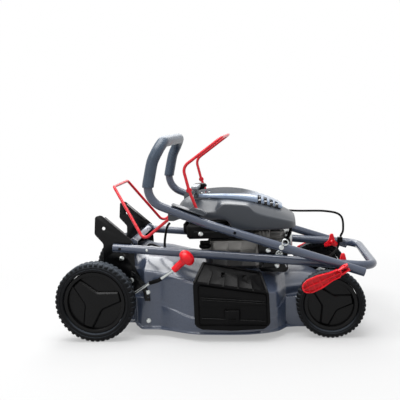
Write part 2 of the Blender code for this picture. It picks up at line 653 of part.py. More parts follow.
def shroud_sections(rows, steps):
    """Cross sections from sill to sill: rows hold x, half width, sill, side top and crown heights."""
    sections = []
    for x, half, sill, side_top, crown in rows:
        right = [(half, sill), (half + 0.0035, (sill + side_top) / 2), (half, side_top)]
        for i in range(1, steps + 1):
            turn = math.pi / 2 * i / steps
            right.append((half * (0.30 + 0.70 * math.cos(turn)) ,
                          side_top + (crown - side_top) * math.sin(turn)))
        section = [(x, -y, z) for y, z in right] + [(x, y, z) for y, z in reversed(right)]
        sections.append(section)
    return sections


def engine_shroud():
    rows = [(0.244, 0.070, 0.352, 0.372, 0.392), (0.252, 0.112, 0.346, 0.380, 0.402), (0.275, 0.148, 0.343,
                                                                                       0.388, 0.411),
            (0.330, 0.168, 0.345, 0.392, 0.4165), (0.405, 0.172, 0.340, 0.386, 0.4150),
            (0.425, 0.172, 0.3235, 0.383, 0.4130),
            (0.500, 0.168, 0.3200, 0.368, 0.3960), (0.560, 0.154, 0.3170, 0.352, 0.3740),
            (0.605, 0.130, 0.3150, 0.338, 0.3520),
            (0.622, 0.092, 0.3150, 0.328, 0.3400)]
    body = lofted("engine_shroud", shroud_sections(rows, 3), 0.0026)
    opening = rod("fan_opening", (CRANKSHAFT[0] - 0.045, 0, 0.395), (CRANKSHAFT[0] - 0.045, 0, 0.45), 0.070,
                  18)
    post = rod("rope_post", (RECOIL[0], RECOIL[1], 0.4050), (RECOIL[0], RECOIL[1], 0.4282), 0.0090, 12)
    rope_hole = rod("rope_hole", (RECOIL[0], RECOIL[1], 0.38), (RECOIL[0], RECOIL[1], 0.45), 0.0030, 8)
    keep(fused(body, [post], [opening, rope_hole]), SHROUD)

    top = [(0.292, 0.050, 0.4158, 0.4215, 0.4255), (0.306, 0.082, 0.4156, 0.4235, 0.4290),
           (0.350, 0.104, 0.4154, 0.4255, 0.4330),
           (0.400, 0.108, 0.4130, 0.4245, 0.4345), (0.455, 0.102, 0.4064, 0.4180, 0.4280),
           (0.510, 0.086, 0.3930, 0.4040, 0.4130),
           (0.555, 0.066, 0.3786, 0.3880, 0.3950), (0.582, 0.044, 0.3670, 0.3730, 0.3785)]
    cover = lofted("shroud_cover", shroud_sections(top, 2), 0.0020)
    slots = [rod("post_clearance", (RECOIL[0], RECOIL[1], 0.40), (RECOIL[0], RECOIL[1], 0.45), 0.0100, 14)]
    for n in range(3):
        x = 0.3180 + 0.012 * n
        slots.append(box(f"cover_slot_{n}", (x, -0.070, 0.4255), (x + 0.006, -0.036, 0.445)))
    for n, x in enumerate((0.498, 0.516, 0.534, 0.552)):
        slots.append(box(f"cover_vent_{n}", (x, -0.045 + 0.004 * n, 0.386 - 0.004 * n),
                         (x + 0.010, 0.045 - 0.004 * n, 0.430)))
    keep(fused(cover, cuts=slots), COVER)


def fins(name, x0, x1, half_y, z0, z1, count, share=0.5, axis="x"):
    """Cooling fins as thin boxes; they pass through the core that they are fused to."""
    made = []
    for n in range(count):
        if axis == "x":
            pitch = (x1 - x0) / count
            low, high = (x0 + pitch * n, -half_y, z0), (x0 + pitch * (n + share), half_y, z1)
        else:
            pitch = (z1 - z0) / count
            low, high = (x0, -half_y, z0 + pitch * n), (x1, half_y, z0 + pitch * (n + share))
        made.append(box(f"{name}_{n}", low, high))
    return made


def engine():
    x0 = CRANKSHAFT[0]
    block = box("engine_block", (0.338, -0.112, DECK_TOP + 0.0004), (0.500, 0.112, 0.2860), 0.010)
    cap = rod("block_top", (x0, 0, 0.280), (x0, 0, 0.3120), 0.074, 20, 0.060)
    flange = rod("block_foot", (x0, 0, DECK_TOP + 0.0004), (x0, 0, DECK_TOP + 0.012), 0.105, 20)
    barrel = box("barrel", (0.490, -0.044, 0.2080), (0.538, 0.044, 0.2900))
    ribs = [box(f"block_rib_{n}", (0.356 + 0.044 * n, -0.1160, 0.196), (0.362 + 0.044 * n, -0.1000,
                                                                        0.272)) for n in range(3)]
    ribs.append(box("block_band", (0.345, -0.1150, 0.244), (0.493, -0.1000, 0.250)))
    filler = rod("filler_neck", (0.346, -0.106, 0.212), (0.334, -0.1440, 0.2500), 0.0125, 10)
    filler_top = rod("filler_top", (0.334, -0.1440, 0.2440), (0.334, -0.1440, 0.2612), 0.0125, 10)
    breather = box("breather", (0.372, 0.105, 0.215), (0.420, 0.1220, 0.262), 0.004)
    cuts = [rod("main_bore", (x0, 0, 0.15), (x0, 0, 0.33), 0.0138, 12)]
    barrel_fins = fins("barrel_fin", 0.504, 0.5385, 0.056, 0.204, 0.2960, 3, 0.42)
    parts = [cap, flange, barrel, *ribs, filler, filler_top, breather, *barrel_fins]
    keep(fused(block, parts, cuts), ALUMINIUM)

    head = box("cylinder_head", (0.5395, -0.050, 0.2060), (0.5760, 0.050, 0.2960), 0.003)
    head_fins = fins("head_fin", 0.5400, 0.5860, 0.058, 0.2020, 0.3040, 6, 0.40, "z")
    keep(fused(head, head_fins), ALUMINIUM)
    keep(box("rocker_cover", (0.5865, -0.044, 0.2120), (0.6120, 0.044, 0.2860), 0.008, 2), ZINC)
    boot = wire("spark_plug_boot", filleted([(0.5930, -0.0590, 0.2700), (0.5930, -0.0800, 0.2700),
                                             (0.6060, -0.0840, 0.3000),
                                             (0.6060, -0.0700, 0.3300)], [0.01, 0.012], math.radians(30)),
                0.0055, 2)
    sleeve = rod("boot_sleeve", (0.5950, -0.0590, 0.2700), (0.5950, -0.0860, 0.2700), 0.0085, 12)
    keep(fused(as_mesh(boot), [sleeve]), BLACK_PLASTIC)

    tank = box("fuel_tank", (0.2780, -0.1600, 0.2920), (0.4100, -0.0970, 0.3390), 0.008)
    tank_plate = box("tank_skirt", (0.3000, -0.1660, 0.2940), (0.4840, -0.1560, 0.3180), 0.003)
    tank_bolt = rod("tank_bolt", (0.3240, -0.1620, 0.3110), (0.3240, -0.1700, 0.3110), 0.0060, 6)
    back = box("tank_back", (0.2600, -0.1000, 0.2960), (0.3300, 0.1350, 0.3380), 0.008)
    keep(fused(tank, [tank_plate, tank_bolt, back]), BLACK_PLASTIC)
    neck = [(0, -0.012), (0.0155, -0.012), (0.0155, 0.003), (0.0205, 0.0035), (0.0215, 0.013),
            (0.0185, 0.0165), (0, 0.0165)]
    fuel = empty("fuel_cap_axis", (0.300, 0.1000, 0.4280), DATUM)
    cap = turned("fuel_cap", neck, (0.300, 0.1000, 0.4280), 14, "Z")
    grips = [rod(f"cap_grip_{n}", (0.300 + 0.0208 * math.cos(a), 0.1 + 0.0208 * math.sin(a), 0.4325),
                 (0.300 + 0.0208 * math.cos(a), 0.1 + 0.0208 * math.sin(a), 0.4400), 0.0026, 4)
             for n, a in enumerate(2 * math.pi * k / 6 for k in range(6))]
    keep(fused(cap, grips), BLACK_PLASTIC, fuel)

    oil = empty("oil_cap_axis", (0.334, -0.1440, 0.2616), DATUM)
    oil_cap = turned("oil_cap", [(0, 0), (0.0175, 0), (0.0190, 0.003), (0.0190, 0.009), (0.0165, 0.0115),
                                 (0, 0.0115)],
                     (0.334, -0.1440, 0.2616), 14, "Z")
    wing = box("oil_wing", (0.3180, -0.1470, 0.2720), (0.3500, -0.1410, 0.2850), 0.002)
    keep(fused(oil_cap, [wing]), BLACK_PLASTIC, oil)

    pipe_run = filleted([(0.5580, -0.0585, 0.2500), (0.5580, -0.0900, 0.2500), (0.5500, -0.1200, 0.2350)],
                        [0.02], math.radians(30))
    can = box("muffler", (0.5120, -0.1630, 0.1980), (0.5800, -0.1080, 0.2640), 0.010, 1)
    keep(fused(can, [as_mesh(wire("muffler_pipe", pipe_run, 0.011, 2))]), STEEL)
    face = rounded([(0.504, 0.285), (0.504, 0.190), (0.592, 0.186), (0.592, 0.262), (0.560, 0.285)], 0.010)
    star_spot, lower_bolt, upper_bolt = (0.5630, 0.2440), (0.5590, 0.2080), (0.5330, 0.2560)
    slots = []
    for n in range(8):
        turn = 2 * math.pi * n / 8
        middle = (star_spot[0] + 0.011 * math.cos(turn), star_spot[1] + 0.011 * math.sin(turn))
        slots.append(ring(middle, 0.0028, 4, turn))
    for x, z, lean in ((0.5160, 0.2380, 0.4), (0.5160, 0.2120, -0.4), (0.5850, 0.2100, 0.4),
                       (0.5350, 0.2240, 0.0)):
        half = Vector((0.0016, 0.0085))
        corners = [(-half.x, -half.y), (half.x, -half.y), (half.x, half.y), (-half.x, half.y)]
        slots.append([(x + a * math.cos(lean) - b * math.sin(lean),
                       z + a * math.sin(lean) + b * math.cos(lean))
                      for a, b in corners])
    guard = plate_span("muffler_guard", [face, *slots], -0.1750, -0.1725)
    rim = plate_span("guard_rim", [grown(face, -0.0006), rounded([(0.5065, 0.2825), (0.5065, 0.1925),
                                                                  (0.5895, 0.1885), (0.5895, 0.2605),
                                                  (0.559, 0.2825)], 0.008)], -0.1740, -0.1540)
    heads = [rod(f"guard_bolt_{n}", (x, -0.1640, z), (x, -0.1790, z), 0.0065, 6) for n,
             (x, z) in enumerate((upper_bolt, lower_bolt))]
    keep(fused(guard, [rim, *heads]), BLACK_STEEL)

    filter_box = box("air_filter_housing", (0.4300, 0.1300, 0.2300), (0.5500, 0.1660, 0.3060), 0.010)
    panel = [box(f"filter_rib_{n}", (0.445 + 0.022 * n, 0.1620, 0.2420), (0.450 + 0.022 * n, 0.1690,
                                                                          0.2940)) for n in range(5)]
    keep(fused(filter_box, panel), BLACK_PLASTIC)
    carb = box("carburettor", (0.5040, 0.0800, 0.2440), (0.5420, 0.1296, 0.2820), 0.004)
    bowl = rod("float_bowl", (0.523, 0.105, 0.2180), (0.523, 0.105, 0.2480), 0.0140, 10)
    inlet = rod("carb_inlet", (0.523, 0.0585, 0.262), (0.523, 0.0830, 0.262), 0.0120, 12)
    keep(fused(carb, [bowl, inlet]), ALUMINIUM)

    pull = empty("recoil_axis", (*RECOIL, 0.430), DATUM)
    bar = as_mesh(wire("recoil_handle", filleted([(0.300, -0.118, 0.4420), (0.304, -0.075, 0.4490),
                                                  (0.300, -0.032, 0.4420)],
                                                 [0.06]), 0.0085, 2))
    stem = rod("recoil_stem", (*RECOIL, 0.4480), (*RECOIL, 0.4288), 0.0085, 12, 0.0060)
    keep(fused(bar, [stem]), BLACK_PLASTIC, pull)


HUB_R = 0.0300
BELT_Z = 0.0960


def drive_line():
    """Crankshaft, flywheel, belt hub and blade, which all turn together."""
    x0 = CRANKSHAFT[0]
    spin = empty("crankshaft_axis", (x0, 0, 0), DATUM)
    shaft = turned("crankshaft", [(0, 0.066), (0.0125, 0.066), (0.0125, 0.3150), (0.0092, 0.3190),
                                  (0.0092, 0.3360), (0, 0.3360)], (x0, 0, 0), 12, "Z")
    keep(shaft, STEEL, spin)
    wheel = turned("flywheel", [(0.0100, 0.3215), (0.0600, 0.3215), (0.0660, 0.3290), (0.0900, 0.3290),
                                (0.0900, 0.3345),
                                (0.0140, 0.3345), (0.0140, 0.3375), (0.0100, 0.3375), (0.0100, 0.3215)],
                   (x0, 0, 0), 14, "Z")
    blades = []
    for n in range(6):
        turn = 2 * math.pi * n / 6
        inner = Vector((x0 + 0.050 * math.cos(turn), 0.050 * math.sin(turn), 0))
        outer = Vector((x0 + 0.088 * math.cos(turn + 0.3), 0.088 * math.sin(turn + 0.3), 0))
        side = (outer - inner).cross(Vector((0, 0, 1))).normalized() * 0.0012
        blades.append(hull(f"fan_blade_{n}", [p + s * side + Vector((0, 0, h)) for p in (inner,
                                                                                         outer) for s in (-1,
                                                                                                          1)
                                              for h in (0.3330, 0.3520)]))
    keep(fused(wheel, blades), ALUMINIUM, spin)
    hub = turned("blade_hub", [(0.0133, 0.0710), (0.0330, 0.0710), (0.0330, 0.0760), (0.0210, 0.0800),
                               (0.0210, 0.0840),
                               (HUB_R, 0.0865), (HUB_R, BELT_Z - 0.0070), (HUB_R - 0.0075, BELT_Z),
                               (HUB_R, BELT_Z + 0.0070),
                               (HUB_R, 0.1055), (0.0133, 0.1055), (0.0133, 0.0710)], (x0, 0, 0), 12, "Z")
    keep(hub, STEEL, spin)

    span, chord = 0.218, 0.026
    sections = []
    for share in (-1.0, -0.90, -0.62, -0.50, -0.16, 0.16, 0.50, 0.62, 0.90, 1.0):
        y = span * share
        wing = max(0.0, (abs(share) - 0.50) / 0.50)
        lift = 0.016 * wing
        lead = 1 if share > 0 else -1
        edge = 0.0006 if abs(share) > 0.55 else 0.0016
        sections.append([(x0 + lead * chord, y, 0.0680 - edge), (x0 + lead * chord, y, 0.0680 + edge),
                         (x0 - lead * chord * 0.3, y, 0.0696), (x0 - lead * chord, y, 0.0696 + lift),
                         (x0 - lead * chord, y, 0.0664 + lift), (x0 - lead * chord * 0.3, y, 0.0664)])
        if lead < 0:
            sections[-1] = [sections[-1][k] for k in (4, 3, 2, 1, 0, 5)]
    bm = bmesh.new()
    rows = [[bm.verts.new(p) for p in section] for section in sections]
    for row, after in zip(rows, rows[1:]):
        for k in range(6):
            bm.faces.new((row[k], row[(k + 1) % 6], after[(k + 1) % 6], after[k]))
    bm.faces.new(rows[0])
    bm.faces.new(rows[-1])
    blade = mesh_object("cutting_blade", bm)
    bolt = rod("blade_bolt", (x0, 0, 0.0540), (x0, 0, 0.0660), 0.0110, 6)
    boss = rod("blade_boss", (x0, 0, 0.0640), (x0, 0, 0.0706), 0.0300, 16)
    bore = rod("blade_bore", (x0, 0, 0.0656), (x0, 0, 0.08), 0.0131, 12)
    keep(fused(blade, [boss, bolt], [bore]), STEEL, spin)


GEARBOX_SHAFT = (-0.030, 0.0810)
GEARBOX_PULLEY_R = 0.0240


def gearbox_and_belt():
    """The gearbox that hangs on the rear axle, with its pulley below, and the belt from the blade hub."""
    ax, az = REAR_AXLE
    hang = empty("gearbox_axis", (ax, GEARBOX_SHAFT[1], az), DATUM)
    px, py = GEARBOX_SHAFT
    case = rod("gearbox", (ax, 0.0500, az), (ax, 0.1120, az), 0.0220, 12)
    nose = rod("gearbox_nose", (px, py, 0.1035), (px, py, 0.1440), 0.0180, 10)
    bridge = box("gearbox_bridge", (px, 0.0630, 0.1080), (ax, 0.0990, 0.1400), 0.003)
    collars = [rod(f"gearbox_collar_{n}", (ax, y, az), (ax, y + 0.012, az), 0.0150, 8) for n,
               y in enumerate((0.0400, 0.1100))]
    r = GEARBOX_PULLEY_R
    pulley = turned("gearbox_pulley", [(0, 0.1045), (0.0070, 0.1045), (0.0070, 0.1028), (r, 0.1028),
                                       (r, BELT_Z + 0.0055),
                                       (r - 0.0060, BELT_Z), (r, BELT_Z - 0.0055), (r, 0.0892), (0, 0.0892)],
                    (px, py, 0), 12, "Z")
    bore = rod("gearbox_bore", (ax, 0.02, az), (ax, 0.15, az), 0.0070, 10)
    keep(fused(case, [nose, bridge, *collars, pulley], [bore]), ALUMINIUM, hang)

    away = math.atan2(py - CRANKSHAFT[1], px - CRANKSHAFT[0])
    bm = bmesh.new()
    loops = []
    for deeper, height in ((0.0050, -0.0034), (0.0, -0.0034), (0.0, 0.0034), (0.0050, 0.0034)):
        loop = []
        for centre, radius, middle in ((CRANKSHAFT, HUB_R + 0.0018, away + math.pi),
                                       (GEARBOX_SHAFT, r + 0.0032, away)):
            for k in range(9):
                turn = middle - math.pi / 2 + math.pi * k / 8
                reach = radius - deeper
                loop.append(bm.verts.new((centre[0] + reach * math.cos(turn),
                                          centre[1] + reach * math.sin(turn), BELT_Z + height)))
        loops.append(loop)
    for loop, after in zip(loops, loops[1:] + loops[:1]):
        for k in range(len(loop)):
            m = (k + 1) % len(loop)
            bm.faces.new((loop[k], loop[m], after[m], after[k]))
    keep(mesh_object("drive_belt", bm), RUBBER)


# Handle

LOWER_SLOPE = (CAM_BOLT[1] - HANDLE_PIVOT[1]) / (CAM_BOLT[0] - HANDLE_PIVOT[0])
UPPER_SLOPE = -0.333
CROSSBAR_X = 0.8535
LOWER_REAR_X = 0.048
GRIP_R = 0.0170
GRIP_START_Z = 0.4660


def lower_z(x):
    return HANDLE_PIVOT[1] + LOWER_SLOPE * (x - HANDLE_PIVOT[0])


def upper_z(x):
    return CAM_BOLT[1] + UPPER_SLOPE * (x - CAM_BOLT[0])


def both_sides(points, y):
    """A path from the right-hand leg over to the left-hand one."""
    return [(x, -y, z) for x, z in points] + [(x, y, z) for x, z in reversed(points)]


def upper_path():
    half = [(0.8185, upper_z(0.8185)), (0.349, upper_z(0.349)), (0.163, 0.427), (0.190, 0.545),
            (0.2210, 0.6030)]
    return filleted(both_sides(half, UPPER_LEG_Y), [0.30, 0.062, 0.09, 0.052, 0.052, 0.09, 0.062, 0.30],
                    math.radians(30))


def handles():
    lower = empty("lower_handle_axis", (HANDLE_PIVOT[0], 0, HANDLE_PIVOT[1]), DATUM)
    upper = empty("upper_handle_axis", (CAM_BOLT[0], 0, CAM_BOLT[1]), DATUM)
    half = [(LOWER_REAR_X, lower_z(LOWER_REAR_X)), (CROSSBAR_X, lower_z(CROSSBAR_X))]
    tube = pipe("lower_handle", filleted(both_sides(half, LOWER_LEG_Y), [0.055, 0.055], math.radians(23)),
                TUBE_R, TUBE_WALL)
    holes = [rod("pin_bore", (x, -0.30, z), (x, 0.30, z), r, 8) for x, z, r in
             ((*HANDLE_PIVOT, 0.0047), (*CAM_BOLT, 0.0047))]
    keep(fused(tube, cuts=holes), GREY_PAINT, lower)

    path = upper_path()
    tube = pipe("upper_handle", path, TUBE_R, TUBE_WALL)
    holes = [rod("bolt_bore", (x, -0.30, z), (x, 0.30, z), r, 8) for x, z, r in
             ((*CAM_BOLT, 0.0047), (0.434, upper_z(0.434) + 0.001, 0.0040))]
    keep(fused(tube, cuts=holes), GREY_PAINT, upper)

    covered = [p for p in path if p.z > GRIP_START_Z and p.x < 0.25]
    below = [p for p in path if p.z <= GRIP_START_Z and p.x < 0.25]
    right = max((p for p in below if p.y < 0), key=lambda p: p.z)
    share = (GRIP_START_Z - right.z) / (covered[0].z - right.z)
    start = right.lerp(covered[0], share)
    run = [start, *covered, Vector((start.x, -start.y, start.z))]
    foam = as_mesh(wire("foam_grip", run, GRIP_R, 2, caps=False))
    wall = foam.modifiers.new("wall", "SOLIDIFY")
    wall.thickness = GRIP_R * math.cos(math.pi / 8) - TUBE_R - GAP
    wall.offset = -1
    keep(foam, FOAM, upper)


# Cam levers

LEVER_TURN = math.radians(155.5)
LEVER_PIN_Y = 0.2440


def moved(made, matrix):
    made.data.transform(matrix)
    return made


def cam_joint(hand, side):
    """The star-shaped seat with its bolt and cross pin, and the ribbed cam lever that swings on that pin."""
    lower = bpy.data.objects["lower_handle_axis"]
    x, z = CAM_BOLT
    star = []
    for k in range(3):
        tip = math.radians(88 + 120 * k)
        for spread, radius in ((-0.16, 0.0300), (0.16, 0.0300)):
            star.append((x + radius * math.cos(tip + spread), z + radius * math.sin(tip + spread)))
        dent = tip + math.radians(60)
        star.append((x + 0.0125 * math.cos(dent), z + 0.0125 * math.sin(dent)))
    seat = plate_span(f"cam_seat_{hand}", [rounded(star, 0.004)], side * 0.1655, side * 0.1765)
    bolt = rod(f"cam_bolt_{hand}", (x, side * 0.1655, z), (x, side * 0.2465, z), 0.0040, 10)
    dome = rod("bolt_dome", (x, side * 0.1605, z), (x, side * 0.1665, z), 0.0040, 10, 0.0085)
    along = Matrix.Rotation(LEVER_TURN, 3, "Y") @ Vector((0, 0, 1))
    middle = Vector((x, side * LEVER_PIN_Y, z))
    pin = rod("cam_pin", middle - along * 0.0125, middle + along * 0.0125, 0.0034, 10)
    keep(fused(seat, [bolt, dome, pin]), RED_PLASTIC, lower)

    place = Matrix.Translation((x, 0, z)) @ Matrix.Rotation(LEVER_TURN, 4, "Y")
    axis = empty(f"cam_lever_{hand}_axis", (x, side * LEVER_PIN_Y, z), DATUM)
    blade = [(0.016, 0.0120), (0.050, 0.0130), (0.085, 0.0200), (0.118, 0.0205), (0.138, 0.0130),
             (0.143, 0.0)]
    outline = rounded(blade + [(s, -w) for s, w in reversed(blade[:-1])], 0.010, math.radians(60))
    inner = rounded([(s + 0.003 if s < 0.02 else s - (0.004 if s > 0.13 else 0), w * 0.80) for s, w in blade]
                    + [(s + 0.003 if s < 0.02 else s - (0.004 if s > 0.13 else 0), -w * 0.80) for s,
                       w in reversed(blade[:-1])],
                    0.008, math.radians(60))
    floor = moved(plate_span(f"cam_lever_{hand}", [outline], side * 0.2565, side * 0.2590), place)
    rim = moved(plate_span("lever_rim", [outline, inner], side * 0.2580, side * 0.2690), place)
    parts = [rim, moved(box("lever_spine", (0.018, side * 0.263 - 0.005, -0.0010),
                            (0.139, side * 0.263 + 0.005, 0.0010)), place)]
    for s, w in ((0.040, 0.0115), (0.062, 0.0140), (0.084, 0.0180), (0.106, 0.0195), (0.124, 0.0160)):
        parts.append(moved(box("lever_rib", (s - 0.001, side * 0.263 - 0.005, -w),
                               (s + 0.001, side * 0.263 + 0.005, w)), place))
    for edge in (-1, 1):
        cheek = [(-0.0090, side * 0.2345), (-0.0090, side * 0.2540), (0.0200, side * 0.2680),
                 (0.0240, side * 0.2565),
                 (0.0070, side * 0.2335)]
        parts.append(moved(hull("lever_cheek", [(a, b, edge * c) for a, b in cheek for c in (0.0050,
                                                                                             0.0094)]),
                           place))
    pin_bore = rod("pin_clearance", middle - along * 0.03, middle + along * 0.03, 0.0038, 10)
    keep(fused(floor, parts, [pin_bore]), RED_PLASTIC, axis)


# Bails

BRAKE_BEND = (0.279, 0.523)
BRAKE_TIP = (0.4010, 0.6100)
BRAKE_EYE = (0.2955, 0.4510)
DRIVE_BEND = (0.147, 0.299)
DRIVE_CORNER = (0.0400, 0.4610)
BAIL_Y = 0.190


def bails():
    brake = empty("brake_bail_axis", (BRAKE_PIVOT[0], 0, BRAKE_PIVOT[1]), DATUM)
    path = filleted(both_sides([BRAKE_PIVOT, BRAKE_EYE, BRAKE_BEND, BRAKE_TIP], BAIL_Y),
                    [0.05, 0.030, 0.020, 0.020, 0.030, 0.05], math.radians(40))
    bar = as_mesh(wire("brake_bail", path, WIRE_R, 1))
    extra, holes = [], []
    for side in (-1, 1):
        for place, radius, half in ((BRAKE_PIVOT, 0.0080, 0.0035), (BRAKE_EYE, 0.0085, 0.0026)):
            extra.append(rod("bail_eye", (place[0], side * BAIL_Y - half, place[1]),
                             (place[0], side * BAIL_Y + half, place[1]),
                             radius, 8))
            holes.append(rod("eye_hole", (place[0], side * BAIL_Y - 0.01, place[1]),
                             (place[0], side * BAIL_Y + 0.01, place[1]),
                             0.0034 if place == BRAKE_PIVOT else 0.0028, 6))
    keep(fused(bar, extra, holes), RED_PAINT, brake)

    drive = empty("drive_bail_axis", (DRIVE_PIVOT[0], 0, DRIVE_PIVOT[1]), DATUM)
    corners = []
    for side in (-1, 1):
        leg = [(DRIVE_PIVOT[0], side * BAIL_Y, DRIVE_PIVOT[1]), (DRIVE_BEND[0], side * BAIL_Y,
                                                                 DRIVE_BEND[1]),
               (DRIVE_CORNER[0], side * 0.104, DRIVE_CORNER[1])]
        corners += leg if side < 0 else list(reversed(leg))
    bar = as_mesh(wire("drive_bail", filleted(corners, [0.020, 0.014, 0.014, 0.020], math.radians(40)),
                       WIRE_R, 1))
    extra, holes = [], []
    for side in (-1, 1):
        x, z = DRIVE_PIVOT
        extra.append(rod("drive_eye", (x, side * BAIL_Y - 0.0035, z), (x, side * BAIL_Y + 0.0035, z), 0.0080,
                         10))
        holes.append(rod("drive_hole", (x, side * BAIL_Y - 0.01, z), (x, side * BAIL_Y + 0.01, z), 0.0034,
                         8))
    keep(fused(bar, extra, holes), RED_PAINT, drive)


def bail_brackets():
    """The grey plastic saddles on the upper legs that the two bails swing on."""
    upper = bpy.data.objects["upper_handle_axis"]
    for hand, side in (("right", -1), ("left", 1)):
        outline = [(0.2280, 0.3590), (0.2450, 0.3580), (0.2700, 0.3660), (0.3230, 0.3680), (0.3360, 0.3760),
                   (0.3330, 0.3900),
                   (0.2440, 0.4080), (0.2280, 0.3960)]
        web = plate_span(f"bail_bracket_{hand}", [rounded(outline, 0.005)], side * 0.1962, side * 0.2000)
        start, end = Vector((0.2440, 0, 0.4080)), Vector((0.3400, 0, 0.3720))
        lift = Vector((0.018, 0, 0.048)).normalized()
        path_z = [(start, 0.0030), (end, 0.0050)]
        cap = []
        for spot, height in path_z:
            for y, up in ((0.1970, 0.0), (0.1970, height), (0.2270, height * 0.4), (0.2270, 0.0)):
                cap.append(Vector((spot.x, side * y, spot.z + 0.0035)) + lift * up)
        cover = hull("saddle_cover", cap)
        hump = hull("saddle_hump", [Vector((x, side * y, z)) for y in (0.1970, 0.2150) for x, z in
                                    ((0.290, 0.3900), (0.304, 0.4010), (0.332, 0.3930), (0.350, 0.3800),
                                     (0.345, 0.3740))])
        trim_path = [p for p in upper_path() if (p.y < 0) == (side < 0)]
        channel = as_mesh(wire("saddle_channel", trim_path, TUBE_R + GAP, 3))
        pins = [rod("bail_pin", (x, side * 0.1982, z), (x, side * 0.1850, z), 0.0029, 8) for x,
                z in (BRAKE_PIVOT, DRIVE_PIVOT)]
        keep(fused(web, [cover, hump, *pins], [channel]), GREY_PAINT, upper)


# Cables

CABLE_R = 0.0024
CABLE_STEP = 0.032


def cable(name, points, pivot, spacing, clip=None):
    """A length of sheathed control cable on a smooth curve, with the block that holds it, if any."""
    made = as_mesh(wire(name, smooth_run(points, spacing), CABLE_R, 2))
    keep(fused(made, [clip] if clip else []), BLACK_PLASTIC, pivot)


def cables():
    upper = bpy.data.objects["upper_handle_axis"]
    lower = bpy.data.objects["lower_handle_axis"]
    cable("brake_cable", [(0.3728, 0.1902, 0.3970), (0.3900, 0.1950, 0.3800), (0.470, 0.1960, 0.3420),
                          (0.622, 0.1900, 0.3270),
                          (0.740, 0.1760, 0.3240), (0.792, 0.1640, 0.3080), (0.8000, 0.1600, 0.2600),
                          (0.7905, 0.1640, 0.2330)],
          upper, CABLE_STEP)
    clip = box("brake_cable_clip", (0.7800, 0.1590, 0.2130), (0.7980, 0.1772, 0.2300), 0.002)
    cable("brake_cable_tail", [(0.7860, 0.1640, 0.2200), (0.7780, 0.1600, 0.1900), (0.7400, 0.1300, 0.1650),
                               (0.6900, 0.0900, 0.1720), (0.6450, 0.0600, 0.1860), (0.6180, 0.0300, 0.2020)],
          lower, CABLE_STEP, clip)
    cable("drive_cable", [(0.2300, -0.1865, 0.3500), (0.2200, -0.1800, 0.3350), (0.2110, -0.1700, 0.3000),
                          (0.2080, -0.1680, 0.2735)],
          upper, CABLE_STEP)
    clip = box("drive_cable_clip", (0.2010, -0.1772, 0.2560), (0.2150, -0.1620, 0.2725), 0.002)
    cable("drive_cable_tail", [(0.2060, -0.1660, 0.2640), (0.1880, -0.1500, 0.2680),
                               (0.1620, -0.1250, 0.2720),
                               (0.1480, -0.1080, 0.2680), (0.1400, -0.1000, 0.2610)], lower, CABLE_STEP,
          clip)

    along = Vector((1, 0, UPPER_SLOPE)).normalized()
    up = Vector((-UPPER_SLOPE, 0, 1)).normalized()
    foot = Vector((0.5820, -UPPER_LEG_Y, upper_z(0.5820))) + up * (TUBE_R + GAP)
    loop = []
    for n in range(13):
        turn = math.radians(-80 + 30 * n)
        aside = Vector((0, 0.0005 * turn, 0))
        loop.append(foot + up * (0.0120 + 0.0085 * math.sin(turn)) + along * 0.0085 * math.cos(turn) + aside)
    guide = as_mesh(wire("rope_guide", [foot + up * 0.001, *loop], 0.0018, 1))
    nut = rod("guide_nut", foot, foot + up * 0.0045, 0.0060, 6)
    keep(fused(guide, [nut]), ZINC, upper)


def main():
    height_adjustment()
    wheels()
    deck()
    brackets()
    rear_flap()
    discharge()
    engine_shroud()
    engine()
    drive_line()
    gearbox_and_belt()
    handles()
    for hand, side in (("right", -1), ("left", 1)):
        cam_joint(hand, side)
    bails()
    bail_brackets()
    cables()


main()
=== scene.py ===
"""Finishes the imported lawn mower: tubes, tread, moulded detail, fasteners and materials, on a pale stage."""

import json
import math

import bmesh
import bpy
from bpy.props import FloatProperty, FloatVectorProperty, IntProperty, PointerProperty
from mathutils import Matrix, Vector


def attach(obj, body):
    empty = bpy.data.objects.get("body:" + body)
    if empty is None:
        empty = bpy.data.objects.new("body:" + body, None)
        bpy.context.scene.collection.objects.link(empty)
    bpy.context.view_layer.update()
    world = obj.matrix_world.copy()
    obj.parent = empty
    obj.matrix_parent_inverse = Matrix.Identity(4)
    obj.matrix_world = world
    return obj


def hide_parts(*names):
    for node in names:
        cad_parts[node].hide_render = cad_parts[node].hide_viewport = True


bl_info = {
    "name": "Lawn Mower Finish",
    "version": (1, 0, 0),
    "blender": (4, 5, 0),
    "location": "View3D > Sidebar > Mower",
    "description": "Models the fine pieces, finishes and stage of a folded petrol lawn mower",
    "category": "Object",
}

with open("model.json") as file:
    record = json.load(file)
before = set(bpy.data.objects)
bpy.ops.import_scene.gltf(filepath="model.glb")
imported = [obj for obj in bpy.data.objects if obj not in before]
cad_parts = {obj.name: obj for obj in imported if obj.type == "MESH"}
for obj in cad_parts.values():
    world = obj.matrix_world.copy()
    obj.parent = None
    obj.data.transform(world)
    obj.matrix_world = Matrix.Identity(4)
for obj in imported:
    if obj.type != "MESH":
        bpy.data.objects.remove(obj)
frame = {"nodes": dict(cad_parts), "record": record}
BODY_OF = {node: body for body, nodes in frame["record"]["behaviour"]["bodies"].items() for node in nodes}

# The model's own origin lies this far from the rear axle's ground point along X.
REAR_AXLE_X = -0.372
# Longer than the mower is wide, for drills
THROUGH = 0.6
# Turns a primitive's own axis across the mower.
LYING = (math.pi / 2, 0, 0)


# Helpers for materials


def linear(code):
    """The linear colour, with alpha, of an sRGB hex code."""
    parts = [int(code[i:i + 2], 16) / 255 for i in (1, 3, 5)]
    return (*[p / 12.92 if p <= 0.04045 else ((p + 0.055) / 1.055) ** 2.4 for p in parts], 1.0)


